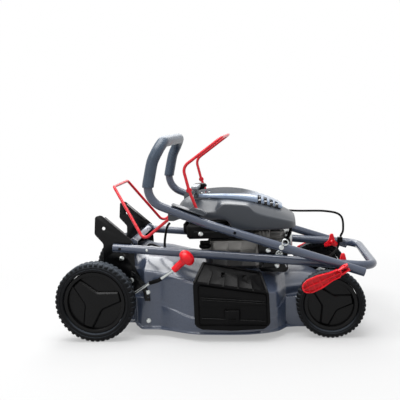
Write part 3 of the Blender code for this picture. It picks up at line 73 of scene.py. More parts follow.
def put(tree, kind, settings=None, **sockets):
    """Adds a node with its settings; each socket, by name or as i0, i1, gets a value or an output's link."""
    made = tree.nodes.new(kind)
    for key, value in (settings or {}).items():
        setattr(made, key, value)
    for key, value in sockets.items():
        numbered = key[0] == "i" and key[1:].isdigit()
        socket = made.inputs[int(key[1:]) if numbered else key.replace("_", " ")]
        if isinstance(value, bpy.types.NodeSocket):
            tree.links.new(value, socket)
        else:
            socket.default_value = value
    return made


def blank(name):
    made = bpy.data.materials.new(name)
    made.use_nodes = True
    made.node_tree.nodes.clear()
    return made, made.node_tree


def ramp(tree, factor, stops):
    made = put(tree, "ShaderNodeValToRGB", None, Fac=factor)
    line = made.color_ramp
    while len(line.elements) < len(stops):
        line.elements.new(0.5)
    for element, (spot, colour) in zip(line.elements, stops):
        element.position = spot
        element.color = colour
    return made


def mixed(colour, share, other):
    return tuple(a + (b - a) * share for a, b in zip(colour, other))


def scaled(colour, share):
    return (*[min(1.0, part * share) for part in colour[:3]], 1.0)


def facing_up(tree):
    """How far the surface turns up: the Z part of its normal."""
    normal = put(tree, "ShaderNodeNewGeometry").outputs["Normal"]
    return put(tree, "ShaderNodeSeparateXYZ", None, Vector=normal).outputs["Z"]


WHITE = (1.0, 1.0, 1.0, 1.0)
BLACK = (0.0, 0.0, 0.0, 1.0)
GRIME = linear("#6C6963")
# Size of the slow change of tone
CLOUD_MM = 60


def finish(name, colour, grain_mm, bump_mm, rough, vary, dust, **gloss):
    """A finish with a fine grain, a slow change of tone, dust on what faces up and wear in its gloss."""
    made, tree = blank(name)
    place = put(tree, "ShaderNodeTexCoord").outputs["Object"]
    fine = put(tree, "ShaderNodeTexNoise", None, Vector=place, Scale=1000 / grain_mm, Detail=3.0, Roughness=0.6)
    slow = put(tree, "ShaderNodeTexNoise", None, Vector=place, Scale=1000 / CLOUD_MM, Detail=4.0,
               Roughness=0.55)
    tone = ramp(tree, slow.outputs["Fac"], [(0.3, scaled(colour, 1 - vary)), (0.7, scaled(colour, 1 + vary))])
    speck = ramp(tree, fine.outputs["Fac"], [(0.35, mixed(WHITE, 0.12, BLACK)), (0.65, WHITE)])
    base = put(tree, "ShaderNodeMix", {"data_type": "RGBA", "blend_type": "MULTIPLY"}, i0=1.0,
               i6=tone.outputs[0], i7=speck.outputs[0]).outputs[2]
    if dust:
        film = put(tree, "ShaderNodeMath", {"operation": "MULTIPLY"}, i0=facing_up(tree),
                   i1=slow.outputs["Fac"]).outputs[0]
        film = put(tree, "ShaderNodeMath", {"operation": "MULTIPLY", "use_clamp": True}, i0=film,
                   i1=dust).outputs[0]
        base = put(tree, "ShaderNodeMix", {"data_type": "RGBA"}, i0=film, i6=base, i7=GRIME).outputs[2]
    dull, bright = min(1.0, rough + 0.07), max(0.0, rough - 0.05)
    wear = ramp(tree, fine.outputs["Fac"], [(0.3, (bright, bright, bright, 1)), (0.7, (dull, dull, dull, 1))])
    relief = put(tree, "ShaderNodeBump", None, Strength=0.6, Distance=bump_mm / 1000,
                 Height=fine.outputs["Fac"])
    shader = put(tree, "ShaderNodeBsdfPrincipled", None, Base_Color=base, Roughness=wear.outputs[0],
                 Normal=relief.outputs[0], **gloss)
    put(tree, "ShaderNodeOutputMaterial", None, Surface=shader.outputs[0])
    return made


def paint_light_on_top(made, colour, low, high, rough):
    """Gives a finish another, matt colour where the surface turns up, as painted light on the top."""
    tree = made.node_tree
    body, end = (next(n for n in tree.nodes if n.type == kind)
                 for kind in ("BSDF_PRINCIPLED", "OUTPUT_MATERIAL"))
    mask = put(tree, "ShaderNodeMapRange", {"interpolation_type": "SMOOTHSTEP"}, Value=facing_up(tree),
               From_Min=low, From_Max=high)
    matt = put(tree, "ShaderNodeBsdfPrincipled", None, Base_Color=colour, Roughness=rough,
               Specular_IOR_Level=0.05)
    both = put(tree, "ShaderNodeMixShader", None, i0=mask.outputs[0], i1=body.outputs[0], i2=matt.outputs[0])
    tree.links.new(both.outputs[0], end.inputs[0])


def seen_directly(tree):
    """1 for what the camera sees, also by reflection and through glass, and 0 for light on the object."""
    path = put(tree, "ShaderNodeLightPath")
    seen = path.outputs["Is Camera Ray"]
    for ray in ("Is Glossy Ray", "Is Transmission Ray"):
        seen = put(tree, "ShaderNodeMath", {"operation": "MAXIMUM"}, i0=seen, i1=path.outputs[ray]).outputs[0]
    return seen


def material(name):
    return bpy.data.materials[name]


# Helpers for shapes


def at(x, y, z):
    """A point given from the rear axle's ground point, in the frame."""
    return Vector((x + REAR_AXLE_X, y, z))


def fresh():
    if bpy.context.mode != "OBJECT":
        bpy.ops.object.mode_set(mode="OBJECT")
    bpy.ops.object.select_all(action="DESELECT")


def take(piece):
    fresh()
    piece.select_set(True)
    bpy.context.view_layer.objects.active = piece
    return piece


def edit(piece):
    take(piece)
    bpy.ops.object.mode_set(mode="EDIT")
    return bmesh.from_edit_mesh(piece.data)


def choose(piece, test, kind="faces"):
    """Selects the faces, edges or verts that the test names, in edit mode."""
    shape = bmesh.from_edit_mesh(piece.data)
    bpy.ops.mesh.select_mode(type={"faces": "FACE", "edges": "EDGE", "verts": "VERT"}[kind])
    for part in getattr(shape, kind):
        part.select_set(test(part))
    bmesh.update_edit_mesh(piece.data)


def extrude(way):
    """Draws the selection of the mesh in edit mode out along the vector."""
    bpy.ops.mesh.extrude_region_move(TRANSFORM_OT_translate={"value": way})


def named(name):
    piece = bpy.context.view_layer.objects.active
    piece.name = name
    piece.data.name = name
    return piece


def settle(piece):
    take(piece)
    bpy.ops.object.transform_apply(location=True, rotation=True, scale=True)
    return piece


def righted(piece):
    """Turns the normals of the shape in edit mode outward and leaves edit mode."""
    bpy.ops.mesh.select_all(action="SELECT")
    bpy.ops.mesh.normals_make_consistent(inside=False)
    bpy.ops.object.mode_set(mode="OBJECT")
    return piece


def flipped(piece):
    edit(piece)
    bpy.ops.mesh.select_all(action="SELECT")
    bpy.ops.mesh.flip_normals()
    bpy.ops.object.mode_set(mode="OBJECT")
    return piece


def cube(name, spot, scale, rotation=(0, 0, 0)):
    """A block about a spot."""
    fresh()
    bpy.ops.mesh.primitive_cube_add(size=1, location=spot, rotation=rotation, scale=scale)
    return settle(named(name))


def cylinder(name, spot, radius, depth, sides, upright=False):
    """A cylinder about a spot, lying across the mower or standing upright."""
    fresh()
    bpy.ops.mesh.primitive_cylinder_add(vertices=sides, radius=radius, depth=depth, location=spot,
                                        rotation=(0, 0, 0) if upright else LYING)
    return settle(named(name))


def ring(name, spot, around, thick, segments, sides):
    """A ring about a spot, its hole across the mower."""
    fresh()
    bpy.ops.mesh.primitive_torus_add(major_radius=around, minor_radius=thick, major_segments=segments,
                                     minor_segments=sides, location=spot, rotation=LYING)
    piece = settle(named(name))
    bpy.ops.object.shade_smooth()
    return piece


def placed(name, spots):
    """Puts the new mesh's points on the spots, in their order, and stays in edit mode."""
    piece = named(name)
    shape = edit(piece)
    shape.verts.ensure_lookup_table()
    if len(shape.verts) != len(spots):
        raise RuntimeError(name + ": the mesh has another number of points than the spots")
    for vert, spot in zip(shape.verts, spots):
        vert.co = spot
    bmesh.update_edit_mesh(piece.data)
    return piece


def polygon(name, spots):
    """A flat face through the spots, left selected in edit mode."""
    fresh()
    bpy.ops.mesh.primitive_circle_add(vertices=len(spots), radius=1, fill_type="NGON", location=(0, 0, 0))
    piece = placed(name, spots)
    bpy.ops.mesh.select_all(action="SELECT")
    return piece


def applied(piece, kind, **settings):
    take(piece)
    step = piece.modifiers.new(kind.lower(), kind)
    for key, value in settings.items():
        setattr(step, key, value)
    bpy.ops.object.modifier_apply(modifier=step.name)
    return piece


def eased(piece, width, angle, segments=2):
    """Rounds the sharp edges and smooths what lies between them."""
    applied(piece, "BEVEL", width=width, segments=segments, limit_method="ANGLE",
            angle_limit=math.radians(angle), harden_normals=False, miter_outer="MITER_ARC")
    bpy.ops.object.shade_smooth_by_angle(angle=math.radians(angle))
    return piece


def block(name, low, high, bevel=0.0, segments=2):
    """A block between two corners, its edges rounded."""
    piece = cube(name, (low + high) / 2, high - low)
    return eased(piece, bevel, 30, segments) if bevel else piece


def cut(piece, *tools, angle=38):
    """Cuts the tools out of the piece, uses them up and smooths what is left."""
    for tool in tools:
        applied(piece, "BOOLEAN", operation="DIFFERENCE", solver="EXACT", object=tool)
        bpy.data.objects.remove(tool)
    take(piece)
    bpy.ops.object.shade_smooth_by_angle(angle=math.radians(angle))
    return piece


def skin(name, rows, levels=2):
    """A smooth sheet about rows of points: a grid with its points on them, then subdivided."""
    fresh()
    bpy.ops.mesh.primitive_grid_add(x_subdivisions=len(rows[0]) - 1, y_subdivisions=len(rows) - 1, size=1,
                                    location=(0, 0, 0))
    piece = placed(name, [spot for row in rows for spot in row])
    bpy.ops.object.mode_set(mode="OBJECT")
    applied(piece, "SUBSURF", levels=levels, render_levels=levels)
    bpy.ops.object.shade_smooth()
    return piece


def outward(piece, spot):
    """Turns the sheet's faces away from the spot inside it."""
    edit(piece)
    righted(piece)
    middle = piece.data.polygons[len(piece.data.polygons) // 2]
    return flipped(piece) if middle.normal.dot(middle.center - Vector(spot)) < 0 else piece


def capped(piece, both=True):
    """Closes the front end, or both ends, of a sheet that is arched like a hood."""
    along = [vert.co.x for vert in piece.data.vertices]
    for end in (min(along), max(along)) if both else (max(along),):
        edit(piece)
        choose(piece, lambda edge: edge.is_boundary and max(abs(vert.co.x - end) for vert in edge.verts) < 1e-5,
               "edges")
        bpy.ops.mesh.edge_face_add()
        bpy.ops.object.mode_set(mode="OBJECT")
    return piece


def hoop(x, right, left=None):
    """A row of points up the right-hand side of the mower and down the left-hand one."""
    return [at(x, -y, z) for y, z in right] + [at(x, y, z) for y, z in reversed(left or right)]


def done(piece, look, body, *nodes):
    """Gives a finished piece its material and its body, and hides the CAD nodes that it stands for."""
    settle(piece)
    piece.data.materials.clear()
    piece.data.materials.append(material(look))
    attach(piece, body)
    if nodes:
        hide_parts(*nodes)
    return piece


def cast_from(node, look, width, angle):
    """A finished copy of a CAD node: its triangles are merged and paired and its edges eased."""
    piece = bpy.data.objects.new(node + "_finished", frame["nodes"][node].data.copy())
    bpy.context.scene.collection.objects.link(piece)
    edit(piece)
    bpy.ops.mesh.select_all(action="SELECT")
    bpy.ops.mesh.remove_doubles(threshold=2e-5)
    bpy.ops.mesh.tris_convert_to_quads(face_threshold=math.radians(1), shape_threshold=math.radians(180))
    bpy.ops.object.mode_set(mode="OBJECT")
    return done(eased(piece, width, angle), look, BODY_OF[node], node)


def bent(points, radii, step=7.0):
    """The route through the points, with each corner turned on an arc of its radius."""
    points = [Vector(p) for p in points]
    route = [points[0]]
    for before, corner, after, radius in zip(points, points[1:], points[2:], radii):
        back, on = (before - corner).normalized(), (after - corner).normalized()
        turn = math.pi - back.angle(on)
        if radius == 0 or turn < 1e-3:
            route.append(corner)
            continue
        centre = corner + (back + on).normalized() * (radius / math.cos(turn / 2))
        first = corner + back * radius * math.tan(turn / 2) - centre
        axis = first.cross(corner + on * radius * math.tan(turn / 2) - centre).normalized()
        count = max(2, round(turn / math.radians(step)))
        route += [centre + Matrix.Rotation(turn * i / count, 3, axis) @ first for i in range(count + 1)]
    return route + [points[-1]]


def smooth_run(points, spacing):
    """Points about the spacing apart on a smooth curve through the route's own points."""
    points = [Vector(p) for p in points]
    ends = [2 * points[0] - points[1], *points, 2 * points[-1] - points[-2]]
    run = [points[0]]
    for before, start, end, after in zip(ends, ends[1:], ends[2:], ends[3:]):
        count = max(1, round((end - start).length / spacing))
        for i in range(1, count + 1):
            t = i / count
            run.append(0.5 * (2 * start + (end - before) * t + (2 * before - 5 * start + 4 * end - after)
                              * t ** 2 + (3 * start - before - 3 * end + after) * t ** 3))
    return run


def rod_along(name, route, radius, sides, caps=True, radii=None):
    """A round bar or tube along a route, as a mesh."""
    fresh()
    bpy.ops.curve.primitive_nurbs_path_add(location=(0, 0, 0))
    piece = named(name)
    data = piece.data
    data.splines.clear()
    line = data.splines.new("POLY")
    line.points.add(len(route) - 1)
    for n, (point, place) in enumerate(zip(line.points, route)):
        point.co = (*place, 1)
        point.radius = radii[n] if radii else 1.0
    data.bevel_depth = radius
    data.bevel_resolution = sides // 2 - 2
    data.use_fill_caps = caps
    bpy.ops.object.convert(target="MESH")
    piece = bpy.context.view_layer.objects.active
    edit(piece)
    bpy.ops.mesh.select_all(action="SELECT")
    bpy.ops.mesh.remove_doubles(threshold=1e-6)
    righted(piece)
    bpy.ops.object.shade_smooth_by_angle(angle=math.radians(40))
    return piece


def spun(name, profile, centre, axis, steps):
    """A turned piece: (radius, height) points about the axis through the centre, from a spun line."""
    fresh()
    axis = Vector(axis).normalized()
    side = axis.orthogonal().normalized()
    spots = [Vector(centre) + side * r + axis * h for r, h in profile]
    bpy.ops.mesh.primitive_plane_add(size=0.001, location=(0, 0, 0))
    piece = named(name)
    edit(piece)
    bpy.ops.mesh.select_mode(type="VERT")
    bpy.ops.mesh.select_all(action="SELECT")
    bpy.ops.mesh.merge(type="CENTER")
    bpy.ops.transform.translate(value=spots[0])
    for before, spot in zip(spots, spots[1:]):
        extrude(spot - before)
    bpy.ops.mesh.select_all(action="SELECT")
    bpy.ops.mesh.spin(steps=steps, angle=2 * math.pi, center=centre, axis=axis)
    bpy.ops.mesh.select_all(action="SELECT")
    bpy.ops.mesh.remove_doubles(threshold=1e-6)
    righted(piece)
    bpy.ops.object.shade_smooth_by_angle(angle=math.radians(38))
    return piece


def joined(first, *others):
    """One piece from several finished meshes."""
    fresh()
    for piece in (first, *others):
        piece.select_set(True)
    bpy.context.view_layer.objects.active = first
    bpy.ops.object.join()
    return first


def copied(piece, matrix):
    """A copy of a mesh with its own data, moved by the matrix."""
    twin = bpy.data.objects.new(piece.name, piece.data.copy())
    bpy.context.scene.collection.objects.link(twin)
    twin.data.transform(matrix)
    return twin


# Height of a bolt's head and radius of its flange
BOLT_HEIGHT, BOLT_FLANGE = 0.005, 0.0075


def bolt_at(spot, across):
    """A turned flange with a bevelled hexagon on it, which look away from the mower's middle."""
    away = Vector((0, math.copysign(1, spot.y), 0))
    plate = spun("bolt_flange", [(0, 0), (BOLT_FLANGE, 0), (BOLT_FLANGE, 0.0008), (BOLT_FLANGE * 0.8, 0.0018),
                                 (0, 0.0018)], spot, away, 24)
    fresh()
    bpy.ops.mesh.primitive_cylinder_add(vertices=6, radius=across / math.sqrt(3), depth=BOLT_HEIGHT,
                                        location=spot + away * (BOLT_HEIGHT / 2 + 0.0012),
                                        rotation=away.to_track_quat("Z", "Y").to_euler())
    return joined(plate, eased(settle(named("bolt_head")), 0.0007, 30))


# Sizes and colours


def size(name, description, metres):
    return FloatProperty(name=name, description=description, default=metres, min=0.0, unit="LENGTH",
                         precision=4)


def tint(name, description, code):
    return FloatVectorProperty(name=name, description=description, default=linear(code), subtype="COLOR",
                               size=4, min=0.0, max=1.0)


class MowerColours(bpy.types.PropertyGroup):
    enamel: tint("Enamel", "Powder coat on the deck and the tubes", "#394254")
    black: tint("Black moulding", "Moulded black parts", "#0A0A0B")
    steel_black: tint("Black steel", "Coated brackets and guard", "#0A0B0C")
    red: tint("Red moulding", "Knob, cam levers and their seats", "#D90F1E")
    red_rod: tint("Red rod", "Coated rod of the two bails", "#CC1A28")
    rubber: tint("Tyre rubber", "Tyres and belt", "#0E0F11")
    # Pale grey painted on the tread that faces up: a painted highlight
    tread_highlight: tint("Rubber bloom", "Painted bloom on the tread that faces up", "#3F444A")
    foam: tint("Foam", "Sleeve on the grip", "#364352")
    casting: tint("Casting", "Aluminium of the engine", "#94928F")
    zinc: tint("Zinc", "Plated rods and bolts", "#C6CAC9")
    blade: tint("Plain steel", "Blade, hub and muffler", "#6A6865")
    shroud: tint("Shroud", "Charcoal engine cowl", "#2B3037")
    # The cover's pale blue-grey flank holds a painted sky reflection; its dark, matt crown is a painted
    # reflection
    cover: tint("Cover", "Lacquered flank of the top cover", "#77879D")
    painted_crown_reflection: tint("Cover top", "Matt crown of the top cover", "#303338")
    grip: tint("Starter grip", "Pale moulding of the recoil handle", "#8E9499")


class MowerSizes(bpy.types.PropertyGroup):
    tube: size("Tube", "Outer diameter of the handle tubes", 0.0268)
    wall: size("Tube wall", "Wall of the handle tubes", 0.0016)
    grip: size("Grip", "Outer diameter of the foam sleeve", 0.036)
    rod: size("Bail rod", "Diameter of the bails' rod", 0.0096)
    cable: size("Cable", "Outer diameter of the control cables", 0.0076)
    lugs: IntProperty(name="Lugs", description="Tread lugs round each shoulder of a tyre", default=46, min=8,
                      max=90)


class MOWER_OT_finishes(bpy.types.Operator):
    """Make the finishes and put them on the CAD parts"""

    bl_idname = "mower.finishes"
    bl_label = "Finishes"

    def execute(self, context):
        ink = context.scene.mower_colours
        # Powder-coated steel: a hard satin gloss with a faint orange-peel skin of about 1.2 mm.
        finish("enamelled_steel", ink.enamel, 1.2, 0.02, 0.28, 0.05, 0.04, Specular_IOR_Level=0.5,
               Coat_Weight=0.45, Coat_Roughness=0.14)
        # Moulded polypropylene: a spark-eroded grain of about 0.9 mm and a soft gloss.
        finish("moulded_polypropylene", ink.black, 0.9, 0.03, 0.36, 0.15, 0.02, Specular_IOR_Level=0.08)
        # The same resin polished for the wheel discs, so that the edges of the star shine.
        finish("polished_polypropylene", ink.black, 1.1, 0.02, 0.26, 0.1, 0.02, Specular_IOR_Level=0.15)
        # Black coated steel plate, smoother and glossier than the mouldings.
        finish("black_coated_steel", ink.steel_black, 1.4, 0.02, 0.24, 0.12, 0.02, Specular_IOR_Level=0.18)
        # Glossy red ABS: clear highlights and no grain to speak of.
        finish("red_abs", ink.red, 1.6, 0.01, 0.26, 0.05, 0.0, Specular_IOR_Level=0.3)
        # Red enamel on bent rod.
        finish("red_enamelled_rod", ink.red_rod, 1.2, 0.01, 0.32, 0.05, 0.0, Specular_IOR_Level=0.4)
        # Vulcanised rubber: dull, with a painted highlight in pale grey on the tread that faces up.
        rubber = finish("vulcanised_rubber", ink.rubber, 1.8, 0.06, 0.5, 0.15, 0.0, Specular_IOR_Level=0.12)
        paint_light_on_top(rubber, ink.tread_highlight, 0.2, 0.95, 0.5)
        # Closed-cell foam: a matt skin with small cells, 1.1 mm across.
        finish("closed_cell_foam", ink.foam, 1.1, 0.05, 0.38, 0.08, 0.0, Specular_IOR_Level=0.45)
        # Pressure-cast aluminium: a sandy skin that dulls the metal.
        finish("pressure_cast_aluminium", ink.casting, 1.3, 0.1, 0.42, 0.14, 0.12, Metallic=0.85)
        # Bright zinc plating.
        finish("zinc_plate", ink.zinc, 1.0, 0.02, 0.24, 0.08, 0.05, Metallic=1.0)
        # Bare rolled steel, dulled.
        finish("rolled_steel", ink.blade, 1.5, 0.08, 0.46, 0.2, 0.15, Metallic=0.9)
        # Charcoal glass-filled nylon with a fine leathery grain.
        finish("shroud_nylon", ink.shroud, 1.0, 0.04, 0.34, 0.08, 0.03, Specular_IOR_Level=0.5)
        # Lacquered cover with a metallic flake under clear coat. Its pale blue-grey is lightened by a painted
        # sky reflection, and its crown, where it faces up, is a dark painted reflection.
        cover = finish("lacquered_cover", ink.cover, 0.8, 0.01, 0.26, 0.05, 0.02, Metallic=0.25,
                       Coat_Weight=0.5, Coat_Roughness=0.08)
        # Dark, matt crown where the cover faces up: a painted reflection.
        paint_light_on_top(cover, ink.painted_crown_reflection, 0.945, 0.985, 0.6)
        # Pale grey moulding of the starter grip.
        finish("grey_nylon", ink.grip, 1.0, 0.04, 0.38, 0.06, 0.0)
        looks = {
            "black_plastic": "moulded_polypropylene", "black_steel": "black_coated_steel",
            "grey_paint": "enamelled_steel", "red_plastic": "red_abs", "red_paint": "red_enamelled_rod",
            "tyre_rubber": "vulcanised_rubber", "foam": "closed_cell_foam",
            "cast_aluminium": "pressure_cast_aluminium", "zinc_steel": "zinc_plate",
            "blade_steel": "rolled_steel", "shroud_plastic": "shroud_nylon", "cover_plastic": "lacquered_cover",
        }
        for part in frame["record"]["subparts"]:
            node = frame["nodes"][part["node"]]
            node.data.materials.clear()
            node.data.materials.append(material(looks[part["material_slot"]]))
        return {"FINISHED"}


# Camera solved from the photograph: its place, its yaw, pitch and roll, and its focal length and the picture's
# width in pixels
CAMERA_SPOT = (0.164, -2.126, 0.6554)
CAMERA_TURN = (math.radians(6.12), math.radians(6.88), -0.0397)
SENSOR_MM, FOCAL_PIXELS, PICTURE_PIXELS = 36, 637.8, 400
# Lamps: name, place, width and watts, all turned to the same spot
LAMPS = (("key_lamp", (-0.3, -0.25, 2.3), 1.8, 72.0), ("fill_lamp", (-1.6, -2.4, 1.5), 1.0, 12.0),
         ("rim_lamp", (-0.2, 1.6, 1.7), 1.4, 26.0))
LIT_SPOT = Vector((0, 0, 0.25))
# The floor keeps the object's shadow out to the first reach and is plain white beyond the second. Within the
# first the camera sees this share of white over it.
SHADOW_REACH, WHITE_REACH, VEIL = 0.5, 1.35, 0.38


class MOWER_OT_stage(bpy.types.Operator):
    """Set the pale floor, the soft lamps and the camera"""

    bl_idname = "mower.stage"
    bl_label = "Stage"

    def execute(self, context):
        fresh()
        bpy.ops.mesh.primitive_plane_add(size=14, location=(0, 0, 0))
        floor = settle(named("floor"))
        look, tree = blank("pale_floor")
        place = put(tree, "ShaderNodeTexCoord").outputs["Object"]
        reach = put(tree, "ShaderNodeVectorMath", {"operation": "LENGTH"}, i0=place).outputs["Value"]
        far = put(tree, "ShaderNodeMapRange", {"interpolation_type": "SMOOTHSTEP"}, Value=reach,
                  From_Min=SHADOW_REACH, From_Max=WHITE_REACH).outputs[0]
        seen = seen_directly(tree)
        veil = put(tree, "ShaderNodeMapRange", None, Value=far, To_Min=VEIL).outputs[0]
        share = put(tree, "ShaderNodeMath", {"operation": "MULTIPLY"}, i0=veil, i1=seen).outputs[0]
        matt = put(tree, "ShaderNodeBsdfDiffuse", None, Color=linear("#B8B8B8")).outputs[0]
        white = put(tree, "ShaderNodeEmission", None, Color=WHITE, Strength=1.0).outputs[0]
        blend = put(tree, "ShaderNodeMixShader", None, i0=share, i1=matt, i2=white).outputs[0]
        put(tree, "ShaderNodeOutputMaterial", None, Surface=blend)
        floor.data.materials.append(look)

        world = bpy.data.worlds.new("soft_room")
        world.use_nodes = True
        context.scene.world = world
        tree = world.node_tree
        tree.nodes.clear()
        seen = seen_directly(tree)
        ray = put(tree, "ShaderNodeTexCoord").outputs["Generated"]
        rise = put(tree, "ShaderNodeSeparateXYZ", None, Vector=ray)
        dome = ramp(tree, rise.outputs["Z"], [(0.0, (0.19, 0.2, 0.22, 1)), (0.35, (0.45, 0.47, 0.5, 1)),
                                              (0.75, (1.0, 1.0, 1.0, 1))])
        lit = put(tree, "ShaderNodeBackground", None, Color=dome.outputs[0], Strength=0.95).outputs[0]
        white = put(tree, "ShaderNodeBackground", None, Color=WHITE, Strength=1.0).outputs[0]
        blend = put(tree, "ShaderNodeMixShader", None, i0=seen, i1=lit, i2=white).outputs[0]
        put(tree, "ShaderNodeOutputWorld", None, Surface=blend)

        for name, spot, size_m, watts in LAMPS:
            fresh()
            bpy.ops.object.light_add(type="AREA", location=spot)
            lamp = bpy.context.view_layer.objects.active
            lamp.name = name
            lamp.data.size = size_m
            lamp.data.energy = watts
            lamp.rotation_euler = (LIT_SPOT - Vector(spot)).to_track_quat("-Z", "Y").to_euler()

        fresh()
        bpy.ops.object.camera_add(location=CAMERA_SPOT)
        camera = bpy.context.view_layer.objects.active
        yaw, pitch, roll = CAMERA_TURN
        ahead = Vector((-math.sin(yaw) * math.cos(pitch), math.cos(yaw) * math.cos(pitch), -math.sin(pitch)))
        level = Vector((math.cos(yaw), math.sin(yaw), 0))
        upward = level.cross(ahead)
        across = level * math.cos(roll) + upward * math.sin(roll)
        top = upward * math.cos(roll) - level * math.sin(roll)
        camera.rotation_euler = Matrix((across, top, -ahead)).transposed().to_euler()
        camera.data.sensor_width = SENSOR_MM
        camera.data.lens = SENSOR_MM * FOCAL_PIXELS / PICTURE_PIXELS
        camera.data.clip_end = 50
        context.scene.camera = camera
        context.scene.view_settings.view_transform = "Standard"
        return {"FINISHED"}


class MOWER_OT_castings(bpy.types.Operator):
    """Round off the pressed, cast and moulded parts"""

    bl_idname = "mower.castings"
    bl_label = "Pressings and castings"

    def execute(self, context):
        rows = [
            ("enamelled_steel", 0.0009, 40, "rear_flap"),
            ("black_coated_steel", 0.0006, 35, "handle_bracket_right handle_bracket_left muffler_guard"),
            ("black_coated_steel", 0.0006, 35, "height_quadrant handle_pivot_pin_right handle_pivot_pin_left"),
            ("moulded_polypropylene", 0.0008, 35, "discharge_frame discharge_flap discharge_latch fuel_tank"),
            ("moulded_polypropylene", 0.0008, 35, "air_filter_housing spark_plug_boot fuel_cap oil_cap"),
            ("pressure_cast_aluminium", 0.001, 35, "engine_block cylinder_head carburettor flywheel gearbox"),
            ("zinc_plate", 0.0005, 35, "rocker_cover rear_crank_axle front_crank_axle"),
            ("rolled_steel", 0.0006, 35, "muffler crankshaft blade_hub cutting_blade"),
            ("red_abs", 0.0005, 35, "cam_seat_right cam_seat_left cam_lever_right cam_lever_left"),
            ("shroud_nylon", 0.0008, 40, "bail_bracket_right bail_bracket_left"),
        ]
        for look, width, angle, nodes in rows:
            for node in nodes.split():
                cast_from(node, look, width, angle)
        return {"FINISHED"}


# Wheels: axle x and z, radius, outer face and width, from the rear axle's ground point
WHEELS = {
    "rear_right": (0.0, 0.1226, 0.1226, -0.28, 0.05), "rear_left": (0.0, 0.1226, 0.1226, 0.28, 0.05),
    "front_right": (0.715, 0.1025, 0.1025, -0.252, 0.045), "front_left": (0.715, 0.1025, 0.1025, 0.252, 0.045),
}
# Where the tyre sits on the disc, as a share of its radius
BEAD = 0.79


class MOWER_OT_tyres(bpy.types.Operator):
    """Mould the tyres with two rows of staggered lugs"""

    bl_idname = "mower.tyres"
    bl_label = "Tyres"

    def execute(self, context):
        count = context.scene.mower_sizes.lugs
        for corner, (x, z, radius, face, width) in WHEELS.items():
            side = 1 if face > 0 else -1
            half = width / 2
            middle = at(x, face - side * half, z)
            inner, tread = radius * BEAD, radius - 0.0011
            flank = [(inner, half - 0.006), (inner + 0.002, half - 0.0015), (inner + 0.005, half),
                     (radius - 0.0175, half), (radius - 0.0165, half - 0.0012), (radius - 0.015, half - 0.0012),
                     (radius - 0.014, half), (radius - 0.011, half - 0.0006), (radius - 0.0068, half - 0.004),
                     (tread, half - 0.0095)]
            profile = flank + [(r, -h) for r, h in reversed(flank)] + [flank[0]]
            band = spun("tyre_band", profile, middle, (0, side, 0), 72)
            pitch = 2 * math.pi / count
            along = radius * pitch * 0.66
            lug = cube("tread_lug", (0, half / 2 - 0.001, -0.0025), (along, half - 0.006, 0.005))
            edit(lug)
            choose(lug, lambda f: f.normal.z > 0.9)
            bpy.ops.transform.resize(value=(0.82, 0.94, 1))
            choose(lug, lambda f: f.normal.y > 0.9)
            extrude((0, 0.003, -0.0048))
            bpy.ops.object.mode_set(mode="OBJECT")
            eased(lug, 0.0006, 30, 1)
            lugs = []
            for n in range(count):
                for row in (-1, 1):
                    turn = pitch * (n + (0.25 if row > 0 else -0.25))
                    mirror = Matrix.Scale(row, 4, (0, 1, 0))
                    spin = Matrix.Rotation(turn, 4, "Y") @ Matrix.Translation((0, 0, radius)) @ mirror
                    twin = copied(lug, Matrix.Translation(middle) @ spin)
                    lugs.append(flipped(twin) if row < 0 else twin)
            bpy.data.objects.remove(lug)
            tyre = joined(band, *lugs)
            tyre.name = corner + "_tyre_tread"
            done(tyre, "vulcanised_rubber", corner + "_wheel", corner + "_tyre")
        return {"FINISHED"}


class MOWER_OT_discs(bpy.types.Operator):
    """Mould the wheel discs, each a dish with a raised three-armed star"""

    bl_idname = "mower.discs"
    bl_label = "Wheel discs"

    def execute(self, context):
        for corner, (x, z, radius, face, width) in WHEELS.items():
            side = 1 if face > 0 else -1
            rim = radius * BEAD * math.cos(math.pi / 24) - 0.0006
            outer, back = abs(face) - 0.006, abs(face) - width + 0.004
            centre = at(x, 0, z)
            profile = [(0, outer - 0.012), (rim - 0.013, outer - 0.012), (rim - 0.0105, outer - 0.001),
                       (rim - 0.009, outer), (rim - 0.0012, outer), (rim, outer - 0.0012), (rim, back),
                       (rim - 0.0045, back), (rim - 0.008, outer - 0.015), (0.024, outer - 0.015),
                       (0.022, back + 0.002), (0.0072, back + 0.002), (0.0072, outer - 0.014),
                       (0, outer - 0.014)]
            dish = spun("disc_dish", profile, centre, (0, side, 0), 64)
            spots = []
            for k in range(3):
                arm, dent = math.radians(12 + 120 * k), math.radians(72 + 120 * k)
                reach = rim - 0.0118
                wide = math.asin(radius * 0.135 / reach)
                spots += [(arm - wide, reach), (arm, reach), (arm + wide, reach), (dent - 0.1, radius * 0.285),
                          (dent + 0.1, radius * 0.285)]
            star = polygon("disc_star", [centre + Vector((reach * math.cos(turn), side * (outer - 0.0125),
                                                          reach * math.sin(turn))) for turn, reach in spots])
            extrude((0, side * 0.0042, 0))
            bpy.ops.mesh.inset(thickness=0.0064)
            bpy.ops.transform.translate(value=(0, side * 0.0064, 0))
            eased(righted(star), 0.001, 25, 3)
            cap = spun("disc_cap", [(0, outer - 0.0018), (0.0095, outer - 0.0022), (0.011, outer - 0.0036),
                                    (0.0118, outer - 0.008)], centre, (0, side, 0), 32)
            disc = joined(dish, star, cap)
            disc.name = corner + "_disc_star"
            done(disc, "polished_polypropylene", corner + "_wheel", corner + "_wheel_disc")
        return {"FINISHED"}


